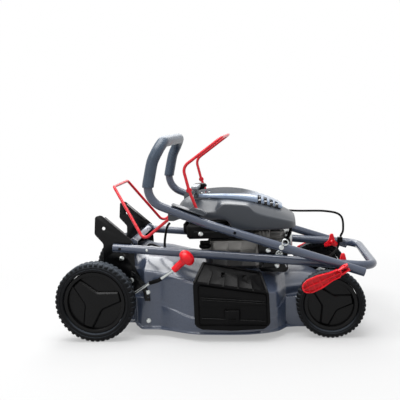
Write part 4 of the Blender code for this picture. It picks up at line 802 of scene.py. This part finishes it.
# Handle: the lower tube's pivot and the cam bolts that join the tubes, the height of the foam's ends, and how
# far each tube's legs and the bails' stand from the middle
PIVOT, CAM_BOLT = (0.071, 0.274), (0.76, 0.2125)
LOWER_SLOPE = (CAM_BOLT[1] - PIVOT[1]) / (CAM_BOLT[0] - PIVOT[0])
UPPER_SLOPE = -0.333
FOAM_END_Z = 0.466
LOWER_LEG_Y, UPPER_LEG_Y, BAIL_Y = 0.19, 0.2172, 0.19


def lower_z(x):
    return PIVOT[1] + LOWER_SLOPE * (x - PIVOT[0])


def upper_z(x):
    return CAM_BOLT[1] + UPPER_SLOPE * (x - CAM_BOLT[0])


def returned(points):
    """The points, then the same on the other side of the mower in reverse."""
    return points + [Vector((p.x, -p.y, p.z)) for p in reversed(points)]


def over(points, y):
    """A route up the right-hand side and back down the left-hand one."""
    return returned([at(x, -y, z) for x, z in points])


def upper_route():
    half = [(0.8185, upper_z(0.8185)), (0.349, upper_z(0.349)), (0.163, 0.427), (0.19, 0.545), (0.221, 0.603)]
    return bent(over(half, UPPER_LEG_Y), [0.3, 0.062, 0.09, 0.052, 0.052, 0.09, 0.062, 0.3])


class MOWER_OT_handles(bpy.types.Operator):
    """Bend the two handle tubes and slide the foam sleeve on"""

    bl_idname = "mower.handles"
    bl_label = "Handle tubes and grip"

    def execute(self, context):
        sizes = context.scene.mower_sizes
        radius, wall = sizes.tube / 2, sizes.wall
        lower = bent(over([(0.048, lower_z(0.048)), (0.8535, lower_z(0.8535))], LOWER_LEG_Y), [0.055, 0.055])
        for name, node, route, holes in (
            ("lower_tube", "lower_handle", lower, [PIVOT, CAM_BOLT]),
            ("upper_tube", "upper_handle", upper_route(), [CAM_BOLT, (0.434, upper_z(0.434) + 0.001)]),
        ):
            tube = rod_along(name, route, radius, 28, caps=False)
            applied(tube, "SOLIDIFY", thickness=wall, offset=-1)
            cut(tube, *[cylinder("drill", at(x, 0, z), 0.005, THROUGH, 20) for x, z in holes], angle=40)
            done(tube, "enamelled_steel", BODY_OF[node], node)

        route = upper_route()
        rear = [p for p in route if p.x < at(0.25, 0, 0).x]
        covered = [p for p in rear if p.z > FOAM_END_Z]
        below = [p for p in rear if p.z <= FOAM_END_Z and p.y < 0]
        right = max(below, key=lambda p: p.z)
        start = right.lerp(covered[0], (FOAM_END_Z - right.z) / (covered[0].z - right.z))
        along = (covered[0] - start).normalized()
        lips = [start, start + along * 0.0012, start + along * 0.0035]
        mirrored = [Vector((p.x, -p.y, p.z)) for p in reversed(lips)]
        sleeve = lips + [p for p in covered if p.z > lips[-1].z + 0.002] + mirrored
        end = [0.93, 0.985, 1.0]
        radii = end + [1.0 - 0.012 * abs(math.sin(n * 0.9)) for n in range(len(sleeve) - 6)] + end[::-1]
        foam = rod_along("foam_sleeve", sleeve, sizes.grip / 2, 36, radii=radii)
        done(foam, "closed_cell_foam", "upper_handle", "foam_grip")
        return {"FINISHED"}


def eye_at(x, y, z, around):
    """An eye in a rod: a ring across the mower."""
    return ring("rod_eye", at(x, y, z), around, 0.0026, 28, 12)


class MOWER_OT_bails(bpy.types.Operator):
    """Bend the brake bail and the drive bail, with their eyes"""

    bl_idname = "mower.bails"
    bl_label = "Bails"

    def execute(self, context):
        radius = context.scene.mower_sizes.rod / 2
        route = bent(over([(0.322, 0.3785), (0.2955, 0.451), (0.279, 0.523), (0.401, 0.61)], BAIL_Y),
                     [0.05, 0.03, 0.02, 0.02, 0.03, 0.05])
        bar = rod_along("brake_bail_rod", route, radius, 20)
        hooks = (0.322, 0.3785), (0.2955, 0.451)
        eyes = [eye_at(x, side * BAIL_Y, z, 0.0062) for side in (-1, 1) for x, z in hooks]
        done(joined(bar, *eyes), "red_enamelled_rod", "brake_bail", "brake_bail")

        corners = returned([at(0.236, -BAIL_Y, 0.369), at(0.147, -BAIL_Y, 0.299), at(0.04, -0.104, 0.461)])
        bar = rod_along("drive_bail_rod", bent(corners, [0.02, 0.014, 0.014, 0.02]), radius, 20)
        eyes = [eye_at(0.236, side * BAIL_Y, 0.369, 0.006) for side in (-1, 1)]
        done(joined(bar, *eyes), "red_enamelled_rod", "drive_bail", "drive_bail")
        return {"FINISHED"}


# Where the two cranks turn in the deck's sides
REAR_CRANK, FRONT_CRANK = (0.052, 0.1106), (0.767, 0.0905)


class MOWER_OT_height_lever(bpy.types.Operator):
    """Shape the height lever, its mushroom knob and the link between the axles"""

    bl_idname = "mower.height_lever"
    bl_label = "Height lever"

    def execute(self, context):
        route = [at(REAR_CRANK[0], -0.2115, REAR_CRANK[1]), at(0.118, -0.22, 0.139), at(0.166, -0.23, 0.171),
                 at(0.198, -0.248, 0.184), at(0.246, -0.256, 0.216), at(0.286, -0.256, 0.252)]
        lever = rod_along("height_lever_rod", bent(route, [0.03, 0.02, 0.02, 0.03]), 0.0045, 20)
        boss = spun("lever_boss", [(0, 0.2072), (0.0125, 0.2072), (0.013, 0.208), (0.013, 0.215),
                                   (0.0115, 0.218), (0, 0.218)], at(REAR_CRANK[0], 0, REAR_CRANK[1]),
                    (0, -1, 0), 32)
        done(joined(lever, boss), "zinc_plate", "rear_crank", "height_lever")
        # A black sleeve over the lever's bend, where the rod only lies in shade: painted shade.
        run = smooth_run([at(0.168, -0.2308, 0.1718), at(0.183, -0.2395, 0.178), at(0.198, -0.248, 0.1842),
                          at(0.206, -0.2494, 0.1895)], 0.004)
        done(rod_along("lever_sleeve", run, 0.0062, 20), "moulded_polypropylene", "rear_crank")

        top, low = at(0.288, -0.256, 0.2538), at(0.243, -0.256, 0.2133)
        profile = [(0.005, -0.056), (0.0088, -0.056), (0.0098, -0.055), (0.0102, -0.05), (0.0104, -0.03),
                   (0.0108, -0.018), (0.013, -0.014), (0.019, -0.0118), (0.0238, -0.008), (0.0262, -0.0022),
                   (0.026, 0.003), (0.0232, 0.0098), (0.0178, 0.015), (0.0102, 0.018), (0.004, 0.0189),
                   (0, 0.019)]
        knob = spun("red_mushroom_knob", profile, top, top - low, 48)
        done(knob, "red_abs", "rear_crank", "height_knob")

        rear, front = ((x - 0.0195, z - 0.0279) for x, z in (REAR_CRANK, FRONT_CRANK))
        plan = [(rear[0], 0.139), (rear[0], 0.153), (0.19, 0.155), (0.26, 0.205), (0.355, 0.227),
                (0.455, 0.227), (0.505, 0.2165), (0.56, 0.183), (0.62, 0.164), (front[0], 0.153),
                (front[0], 0.139)]
        fall = (front[1] - rear[1]) / (front[0] - rear[0])
        route = [at(x, y, rear[1] + fall * (x - rear[0])) for x, y in plan]
        route = bent(route, [0.006, 0.03, 0.03, 0.06, 0.06, 0.06, 0.03, 0.03, 0.006])
        link = rod_along("height_link_rod", route, 0.0035, 14)
        done(link, "zinc_plate", "height_link", "height_link")
        return {"FINISHED"}


class MOWER_OT_cables(bpy.types.Operator):
    """Lay the two control cables in their sheaths, with ferrules and clips"""

    bl_idname = "mower.cables"
    bl_label = "Control cables"

    def execute(self, context):
        radius = context.scene.mower_sizes.cable / 2
        rows = [
            ("brake_cable", [(0.3728, 0.1902, 0.397), (0.39, 0.195, 0.38), (0.47, 0.196, 0.342),
                             (0.622, 0.19, 0.327), (0.74, 0.176, 0.324), (0.792, 0.164, 0.308),
                             (0.8, 0.16, 0.26), (0.7905, 0.164, 0.233)]),
            ("brake_cable_tail", [(0.786, 0.164, 0.22), (0.778, 0.16, 0.19), (0.74, 0.13, 0.165),
                                  (0.69, 0.09, 0.172), (0.645, 0.06, 0.186), (0.618, 0.03, 0.202)]),
            ("drive_cable", [(0.23, -0.1865, 0.35), (0.22, -0.18, 0.335), (0.211, -0.17, 0.3),
                             (0.208, -0.168, 0.2735)]),
            ("drive_cable_tail", [(0.206, -0.166, 0.264), (0.188, -0.15, 0.268), (0.162, -0.125, 0.272),
                                  (0.148, -0.108, 0.268), (0.14, -0.1, 0.261)]),
        ]
        clips = {"brake_cable_tail": ((0.78, 0.159, 0.213), (0.798, 0.1772, 0.23)),
                 "drive_cable_tail": ((0.201, -0.1772, 0.256), (0.215, -0.162, 0.2725))}
        for node, points in rows:
            run = smooth_run([at(*p) for p in points], 0.006)
            sheath = rod_along(node + "_sheath", run, radius, 16)
            ends = (run[0], run[1]), (run[-1], run[-2])
            fittings = [rod_along("ferrule", [a, a + (b - a).normalized() * 0.011], radius * 1.02, 16)
                        for a, b in ends]
            if node in clips:
                low, high = clips[node]
                fittings.append(block("cable_clip", at(*low), at(*high), 0.002, 3))
            done(joined(sheath, *fittings), "moulded_polypropylene", BODY_OF[node], node)
        return {"FINISHED"}


# Deck: x, near half width, far half width, step, shoulder and top heights, half width above the step
DECK = [
    (0.036, 0.172, 0.172, 0.12, 0.205, 0.226, 0.172), (0.084, 0.172, 0.172, 0.12, 0.212, 0.248, 0.172),
    (0.104, 0.172, 0.172, 0.122, 0.212, 0.251, 0.172), (0.116, 0.203, 0.203, 0.122, 0.212, 0.246, 0.172),
    (0.128, 0.209, 0.209, 0.124, 0.211, 0.24, 0.172), (0.146, 0.211, 0.211, 0.12, 0.209, 0.233, 0.211),
    (0.19, 0.213, 0.213, 0.11, 0.202, 0.228, 0.213), (0.235, 0.232, 0.222, 0.1, 0.194, 0.214, 0.232),
    (0.285, 0.256, 0.23, 0.09, 0.184, 0.19, 0.256), (0.324, 0.266, 0.235, 0.086, 0.177, 0.183, 0.266),
    (0.41, 0.27, 0.238, 0.085, 0.163, 0.183, 0.27), (0.47, 0.267, 0.236, 0.085, 0.154, 0.183, 0.267),
    (0.525, 0.252, 0.23, 0.085, 0.146, 0.18, 0.252), (0.56, 0.232, 0.218, 0.09, 0.142, 0.172, 0.232),
    (0.583, 0.196, 0.196, 0.112, 0.141, 0.166, 0.172), (0.64, 0.186, 0.186, 0.112, 0.14, 0.161, 0.14),
    (0.69, 0.186, 0.186, 0.112, 0.131, 0.146, 0.085), (0.715, 0.186, 0.186, 0.112, 0.117, 0.119, 0.06),
    (0.795, 0.182, 0.182, 0.108, 0.1085, 0.1095, 0.05),
]
# The pressed ledge beside the discharge: x, height, how far the wall stands out below it
LEDGE = [(0.195, 0.112, 0.0), (0.216, 0.107, 0.003), (0.235, 0.097, 0.0065), (0.258, 0.081, 0.0075),
         (0.295, 0.07, 0.0075), (0.312, 0.069, 0.0045), (0.53, 0.066, 0.004), (0.56, 0.066, 0.0)]
LIP_Z = 0.025
# Outline, in x and z, of the pressed plate where a front stub leaves the deck
AXLE_PLATE = [(0.581, 0.115), (0.5795, 0.039), (0.598, 0.02), (0.66, 0.0195), (0.66, 0.113)]
CRANKSHAFT_X = 0.425


def read_off(table, x):
    """The row of the table at x, in proportion between its neighbours."""
    if x <= table[0][0]:
        return table[0][1:]
    for low, high in zip(table, table[1:]):
        if x <= high[0]:
            share = (x - low[0]) / (high[0] - low[0])
            return [a + (b - a) * share for a, b in zip(low[1:], high[1:])]
    return table[-1][1:]


def deck_half(x, half, step, shoulder, top, inner, ledge_z, ledge):
    """One half of the deck's section at x, from the brim to the middle."""
    lip = LIP_Z + (0.01 if x < 0.13 else 0.0)
    low = half + ledge
    gap = (half - inner) * 0.12
    brim = half + 0.01
    return [(brim, lip - 0.004), (brim - 0.0004, lip - 0.0006), ((low + brim) / 2, lip + 0.0004),
            (low + 0.0002, lip + 0.0036), (low, lip + 0.01), (low, ledge_z - 0.004),
            (low - ledge * 0.2, ledge_z - 0.0005), (half + ledge * 0.1, ledge_z + 0.001),
            (half, ledge_z + 0.005), (half, step - 0.004), (half - 0.0002 - gap, step),
            (inner + gap - 0.0004, step + 0.0008), (inner - 0.0006, step + 0.006),
            (inner - 0.0008, shoulder - 0.015), (inner - 0.0014, shoulder - 0.006),
            (inner - 0.006, shoulder - 0.001), (inner - 0.018, shoulder + (top - shoulder) * 0.06),
            (inner * 0.8, shoulder + (top - shoulder) * 0.45), (inner * 0.62, top - 0.004),
            (inner * 0.62 - 0.02, top), (inner * 0.25, top)]


class MOWER_OT_deck(bpy.types.Operator):
    """Press the deck: a sheet with its flared lip, shoulder, front box and the ledge beside the discharge"""

    bl_idname = "mower.deck"
    bl_label = "Deck"

    def execute(self, context):
        # More rows stand where the section changes fast.
        places = [0.036, 0.06, 0.084, 0.1, 0.104, 0.108, 0.113, 0.116, 0.12, 0.13, 0.138, 0.143, 0.146, 0.149,
                  0.156, 0.17, 0.19, 0.205, 0.216, 0.226, 0.235, 0.247, 0.258, 0.275, 0.295, 0.324, 0.365, 0.41,
                  0.44, 0.47, 0.5, 0.525, 0.545, 0.56, 0.569, 0.576, 0.5805, 0.5825, 0.5845, 0.59, 0.61, 0.64,
                  0.665, 0.69, 0.702, 0.715, 0.73, 0.76, 0.788, 0.7935, 0.795]
        rows = []
        for x in places:
            near, far, step, shoulder, top, inner = read_off(DECK, x)
            ledge_z, ledge = read_off(LEDGE, x)
            ledge_z = min(ledge_z, step - 0.012)
            rows.append(hoop(x, deck_half(x, near, step, shoulder, top, min(inner, near), ledge_z, ledge),
                             deck_half(x, far, step, shoulder, top, min(inner, far), ledge_z, 0.0)))
        deck = outward(capped(skin("deck_pressing", rows), both=False), at(0.4, 0, 0.1))
        applied(deck, "SOLIDIFY", thickness=0.002, offset=-1)

        window = block("window", at(0.326, -0.3, 0.06), at(0.518, -0.225, 0.1605))
        edit(window)
        choose(window, lambda vert: vert.co.x > at(0.5, 0, 0).x and vert.co.z > 0.15, "verts")
        bpy.ops.transform.translate(value=(0, 0, -0.024))
        bpy.ops.object.mode_set(mode="OBJECT")
        tools = [window] + [cylinder("crank_hole", at(x, 0, z), 0.0095, THROUGH, 24)
                            for x, z in (REAR_CRANK, FRONT_CRANK)]
        cut(deck, *tools, cylinder("crank_bore", at(CRANKSHAFT_X, 0, 0.17), 0.03, 0.12, 32, upright=True))

        line = (0.15, 0.055), (0.152, 0.11), (0.128, 0.142), (0.08, 0.158), (0.036, 0.164)
        chute = bent([at(x, 0, z) for x, z in line], [0.03, 0.03, 0.03], 10)
        across = (-0.1706, -0.06, 0.06, 0.1706)
        floor = skin("chute_floor", [[Vector((p.x, y, p.z)) for y in across] for p in chute], 1)
        applied(floor, "SOLIDIFY", thickness=0.002, offset=0)
        cut(floor, block("belt_slot", at(0.135, 0.015, 0.058), at(0.165, 0.085, 0.108)),
            block("link_slot", at(0.135, 0.1455, 0.062), at(0.165, 0.16, 0.096)))
        pad = spun("engine_pad", [(0.106, 0.18), (0.106, 0.1838), (0.124, 0.1838), (0.13, 0.1826),
                                  (0.134, 0.1796), (0.1345, 0.17), (0.106, 0.17), (0.106, 0.18)],
                   at(CRANKSHAFT_X, 0, 0), (0, 0, 1), 72)
        plates = []
        for side in (-1, 1):
            plate = polygon("axle_plate", [at(x, side * 0.1925, z) for x, z in AXLE_PLATE])
            extrude((0, side * 0.0065, 0))
            plates.append(eased(righted(plate), 0.0022, 30, 3))
        done(joined(deck, floor, pad, *plates), "enamelled_steel", "chassis", "deck_shell")
        return {"FINISHED"}


# Cowl: x, half width, sill, top of the side panel, top
COWL = [
    (0.244, 0.07, 0.352, 0.366, 0.392), (0.252, 0.112, 0.35, 0.37, 0.402), (0.275, 0.148, 0.35, 0.376, 0.411),
    (0.33, 0.166, 0.353, 0.379, 0.4165), (0.37, 0.169, 0.355, 0.38, 0.4165),
    (0.377, 0.1705, 0.3555, 0.384, 0.416), (0.39, 0.173, 0.356, 0.403, 0.4155),
    (0.406, 0.173, 0.355, 0.4035, 0.415), (0.42, 0.173, 0.337, 0.4025, 0.4135),
    (0.427, 0.173, 0.3235, 0.4015, 0.4125), (0.474, 0.17, 0.32, 0.397, 0.4045),
    (0.484, 0.169, 0.319, 0.385, 0.401), (0.496, 0.167, 0.319, 0.37, 0.3965),
    (0.56, 0.153, 0.317, 0.352, 0.374), (0.605, 0.13, 0.315, 0.338, 0.352), (0.618, 0.102, 0.315, 0.331, 0.343),
    (0.622, 0.092, 0.315, 0.328, 0.34),
]
# Cover: x, half width, sill, top of the flank, top
COVER = [
    (0.292, 0.05, 0.4158, 0.4215, 0.4255), (0.306, 0.082, 0.4156, 0.4235, 0.429),
    (0.35, 0.104, 0.4154, 0.4255, 0.433), (0.4, 0.108, 0.413, 0.4245, 0.4345),
    (0.455, 0.102, 0.4064, 0.418, 0.428), (0.51, 0.086, 0.393, 0.404, 0.413),
    (0.555, 0.066, 0.3786, 0.388, 0.395), (0.582, 0.044, 0.367, 0.373, 0.3785),
]
# The starter rope's post, in x and y; the cover's vents, by x and the height of the screen under each
RECOIL = (0.304, -0.075)
VENTS = [(0.503, 0.4), (0.522, 0.3945), (0.541, 0.3885), (0.558, 0.383)]


class MOWER_OT_cowl(bpy.types.Operator):
    """Mould the engine's cowl with its raised side panels, and the lacquered cover with its slots"""

    bl_idname = "mower.cowl"
    bl_label = "Engine cowl and cover"

    def execute(self, context):
        rows = []
        for x, half, sill, side, top in COWL:
            right = [(half - 0.001, sill), (half + 0.0002, sill + 0.003), (half + 0.0012, (sill + side) / 2),
                     (half + 0.0004, side - 0.005), (half - 0.0006, side - 0.0012),
                     (half - 0.004, side + 0.0016), (half - 0.01, side + (top - side) * 0.16),
                     (half * 0.78, side + (top - side) * 0.55), (half * 0.62, top - 0.0035),
                     (half * 0.45, top - 0.001), (half * 0.15, top)]
            rows.append(hoop(x, right))
        cowl = outward(capped(skin("engine_cowl", rows)), at(0.43, 0, 0.33))
        applied(cowl, "SOLIDIFY", thickness=0.0026, offset=-1)
        cut(cowl, cylinder("fan_opening", at(0.38, 0, 0.425), 0.07, 0.06, 48, upright=True))
        post = spun("rope_post", [(0.0034, 0.405), (0.0092, 0.405), (0.0092, 0.4262), (0.0078, 0.428),
                                  (0.0034, 0.428), (0.0034, 0.405)], at(*RECOIL, 0), (0, 0, 1), 32)
        base = block("starter_base", at(0.3, -0.098, 0.4), at(0.346, -0.052, 0.4165), 0.003)
        done(joined(cowl, post, base), "shroud_nylon", "chassis", "engine_shroud")

        rows = []
        for x, half, sill, side, top in COVER:
            right = [(half, sill), (half + 0.0008, sill + 0.002), (half + 0.0004, side - 0.001)]
            for n in range(1, 6):
                turn = math.pi / 2 * n / 5
                right.append((half * (0.2 + 0.8 * math.cos(turn)), side + (top - side) * math.sin(turn)))
            rows.append(hoop(x, right))
        cover = outward(capped(skin("lacquered_cover_skin", rows)), at(0.43, 0, 0.4))
        applied(cover, "SOLIDIFY", thickness=0.002, offset=-1)
        tools = [block("cover_slot", at(x, -0.078, 0.42), at(x + 0.0065, -0.03, 0.445), 0.0015)
                 for x in (0.317, 0.3295, 0.342)]
        for n, (x, _) in enumerate(VENTS):
            for side in (-1, 1):
                low, high = sorted((side * (0.088 - 0.008 * n), side * 0.03))
                tools.append(block("cover_vent", at(x, low, 0.37), at(x + 0.011, high, 0.425), 0.002))
        tools.append(cylinder("post_clearance", at(*RECOIL, 0.425), 0.0102, 0.06, 32, upright=True))
        cut(cover, *tools)
        done(cover, "lacquered_cover", "chassis", "shroud_cover")
        screen = block("slot_screen", at(0.313, -0.082, 0.42), at(0.352, -0.026, 0.4215), 0.0003)
        done(screen, "moulded_polypropylene", "chassis")
        screens = [block("vent_screen", at(x - 0.001, 0.008 * n - 0.084, z),
                         at(x + 0.012, 0.084 - 0.008 * n, z + 0.0012), 0.0003)
                   for n, (x, z) in enumerate(VENTS)]
        done(joined(*screens), "shroud_nylon", "chassis")

        grip = block("starter_grip", at(RECOIL[0] - 0.0105, -0.1185, 0.4455),
                     at(RECOIL[0] + 0.0105, -0.0315, 0.4556))
        edit(grip)
        choose(grip, lambda face: face.normal.z < -0.9)
        extrude((0, 0, -0.0065))
        bpy.ops.transform.resize(value=(0.52, 0.55, 1))
        extrude((0, 0, -0.0098))
        bpy.ops.transform.resize(value=(1.25, 0.4, 1))
        bpy.ops.object.mode_set(mode="OBJECT")
        eased(grip, 0.0022, 25, 3)
        done(grip, "grey_nylon", BODY_OF["recoil_handle"], "recoil_handle")
        return {"FINISHED"}


class MOWER_OT_discharge(bpy.types.Operator):
    """Close the hood's square pockets and the latch's slot from behind, and lay the flap's ribs"""

    bl_idname = "mower.discharge"
    bl_label = "Discharge details"

    def execute(self, context):
        low = at(0.3085, -0.2825, 0.1822), at(0.5305, -0.2825, 0.1486)
        top = at(0.333, -0.222, 0.229), at(0.509, -0.206, 0.191)
        slope = math.atan2(0.005, 0.0036)
        away = Vector((0, -math.sin(slope), math.cos(slope)))
        floors = []
        for share in (0.37, 0.7):
            middle = low[0].lerp(low[1], share).lerp(top[0].lerp(top[1], share), 0.62) - away * 0.0062
            pocket = cube("hood_pocket", middle, (0.02, 0.026, 0.0012), (slope, 0, 0))
            floors.append(eased(pocket, 0.0003, 30, 1))
        done(joined(*floors), "moulded_polypropylene", "chassis")
        ribs = [rod_along("flap_rib", [at(0.33, -0.2826, start), at(0.519, -0.2826, end)], 0.0017, 12)
                for start, end in ((0.137, 0.1235), (0.131, 0.1175), (0.0745, 0.064))]
        done(joined(*ribs), "polished_polypropylene", BODY_OF["discharge_flap"])
        backing = block("latch_backing", at(0.3965, -0.277, 0.0686), at(0.4465, -0.2758, 0.1095), 0.0003)
        done(backing, "moulded_polypropylene", BODY_OF["discharge_flap"])
        return {"FINISHED"}


class MOWER_OT_fasteners(bpy.types.Operator):
    """Fit the bolts, the tube's rivet, the rope guide's wire and the star in the muffler's outlet"""

    bl_idname = "mower.fasteners"
    bl_label = "Fasteners"

    def execute(self, context):
        rows = [
            ("guard_bolts", "chassis", 0.01, [(0.533, -0.1786, 0.256), (0.559, -0.1786, 0.208)]),
            ("tank_bolt", "chassis", 0.009, [(0.324, -0.1695, 0.311)]),
            ("bracket_bolts", "chassis", 0.01, [(x, side * 0.1805, z) for side in (-1, 1)
                                                for x, z in ((0.071, 0.24), (0.099, 0.169))]),
            ("rope_guide_nut", BODY_OF["rope_guide"], 0.0105, [(0.5725, -0.2303, 0.275)]),
            ("deck_bolts", "chassis", 0.012, [(0.156, -0.2118, 0.138), (0.154, -0.2118, 0.046)]),
        ]
        for name, body, across, spots in rows:
            piece = joined(*[bolt_at(at(*spot), across) for spot in spots])
            piece.name = name
            done(piece, "zinc_plate", body)
        profile = [(0, -0.001), (0.0044, -0.001), (0.0042, 0.0008), (0.0028, 0.002), (0, 0.0024)]
        rivet = spun("tube_rivet", profile, at(0.157, -0.2034, lower_z(0.157) + 0.002), (0, -1, 0), 24)
        done(rivet, "zinc_plate", "lower_handle")
        coil = [at(0.5725, -0.233, 0.275), at(0.5745, -0.2335, 0.283)]
        for n in range(31):
            turn = math.radians(180 + 15 * n)
            coil.append(at(0.5842 + 0.009 * math.cos(turn), -0.2333 + 0.0002 * n,
                           0.2905 - 0.009 * math.sin(turn)))
        wire = rod_along("rope_guide_wire", smooth_run(coil, 0.002), 0.0018, 14)
        done(wire, "zinc_plate", BODY_OF["rope_guide"], "rope_guide")

        outlet = at(0.5658, -0.1795, 0.2443)
        star = []
        for n in range(3):
            spoke = cube("outlet_spoke", outlet, (0.0192, 0.0014, 0.0018), (0, math.radians(60 * n), 0))
            star.append(eased(spoke, 0.0003, 30, 1))
        done(joined(ring("outlet_ring", outlet, 0.01, 0.0015, 36, 10), *star), "zinc_plate", "chassis")
        return {"FINISHED"}


class MOWER_PT_panel(bpy.types.Panel):
    """Lists the steps in the order that they run"""

    bl_idname = "MOWER_PT_panel"
    bl_label = "Lawn mower"
    bl_space_type = "VIEW_3D"
    bl_region_type = "UI"
    bl_category = "Mower"

    def draw(self, context):
        for group in (context.scene.mower_sizes, context.scene.mower_colours):
            for key in group.__annotations__:
                self.layout.prop(group, key)
        for step in STEPS:
            self.layout.operator(step.bl_idname)


STEPS = (MOWER_OT_finishes, MOWER_OT_stage, MOWER_OT_castings, MOWER_OT_deck, MOWER_OT_cowl, MOWER_OT_discharge,
         MOWER_OT_tyres, MOWER_OT_discs, MOWER_OT_handles, MOWER_OT_bails, MOWER_OT_height_lever,
         MOWER_OT_cables, MOWER_OT_fasteners)
CLASSES = (MowerColours, MowerSizes, *STEPS, MOWER_PT_panel)


def register():
    for entry in CLASSES:
        bpy.utils.register_class(entry)
    bpy.types.Scene.mower_colours = PointerProperty(type=MowerColours)
    bpy.types.Scene.mower_sizes = PointerProperty(type=MowerSizes)


def unregister():
    del bpy.types.Scene.mower_sizes
    del bpy.types.Scene.mower_colours
    for entry in reversed(CLASSES):
        bpy.utils.unregister_class(entry)


def main():
    register()
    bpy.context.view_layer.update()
    bpy.ops.mower.finishes()
    bpy.ops.mower.stage()
    bpy.ops.mower.castings()
    bpy.ops.mower.deck()
    bpy.ops.mower.cowl()
    bpy.ops.mower.discharge()
    bpy.ops.mower.tyres()
    bpy.ops.mower.discs()
    bpy.ops.mower.handles()
    bpy.ops.mower.bails()
    bpy.ops.mower.height_lever()
    bpy.ops.mower.cables()
    bpy.ops.mower.fasteners()


if __name__ == "__main__":
    main()
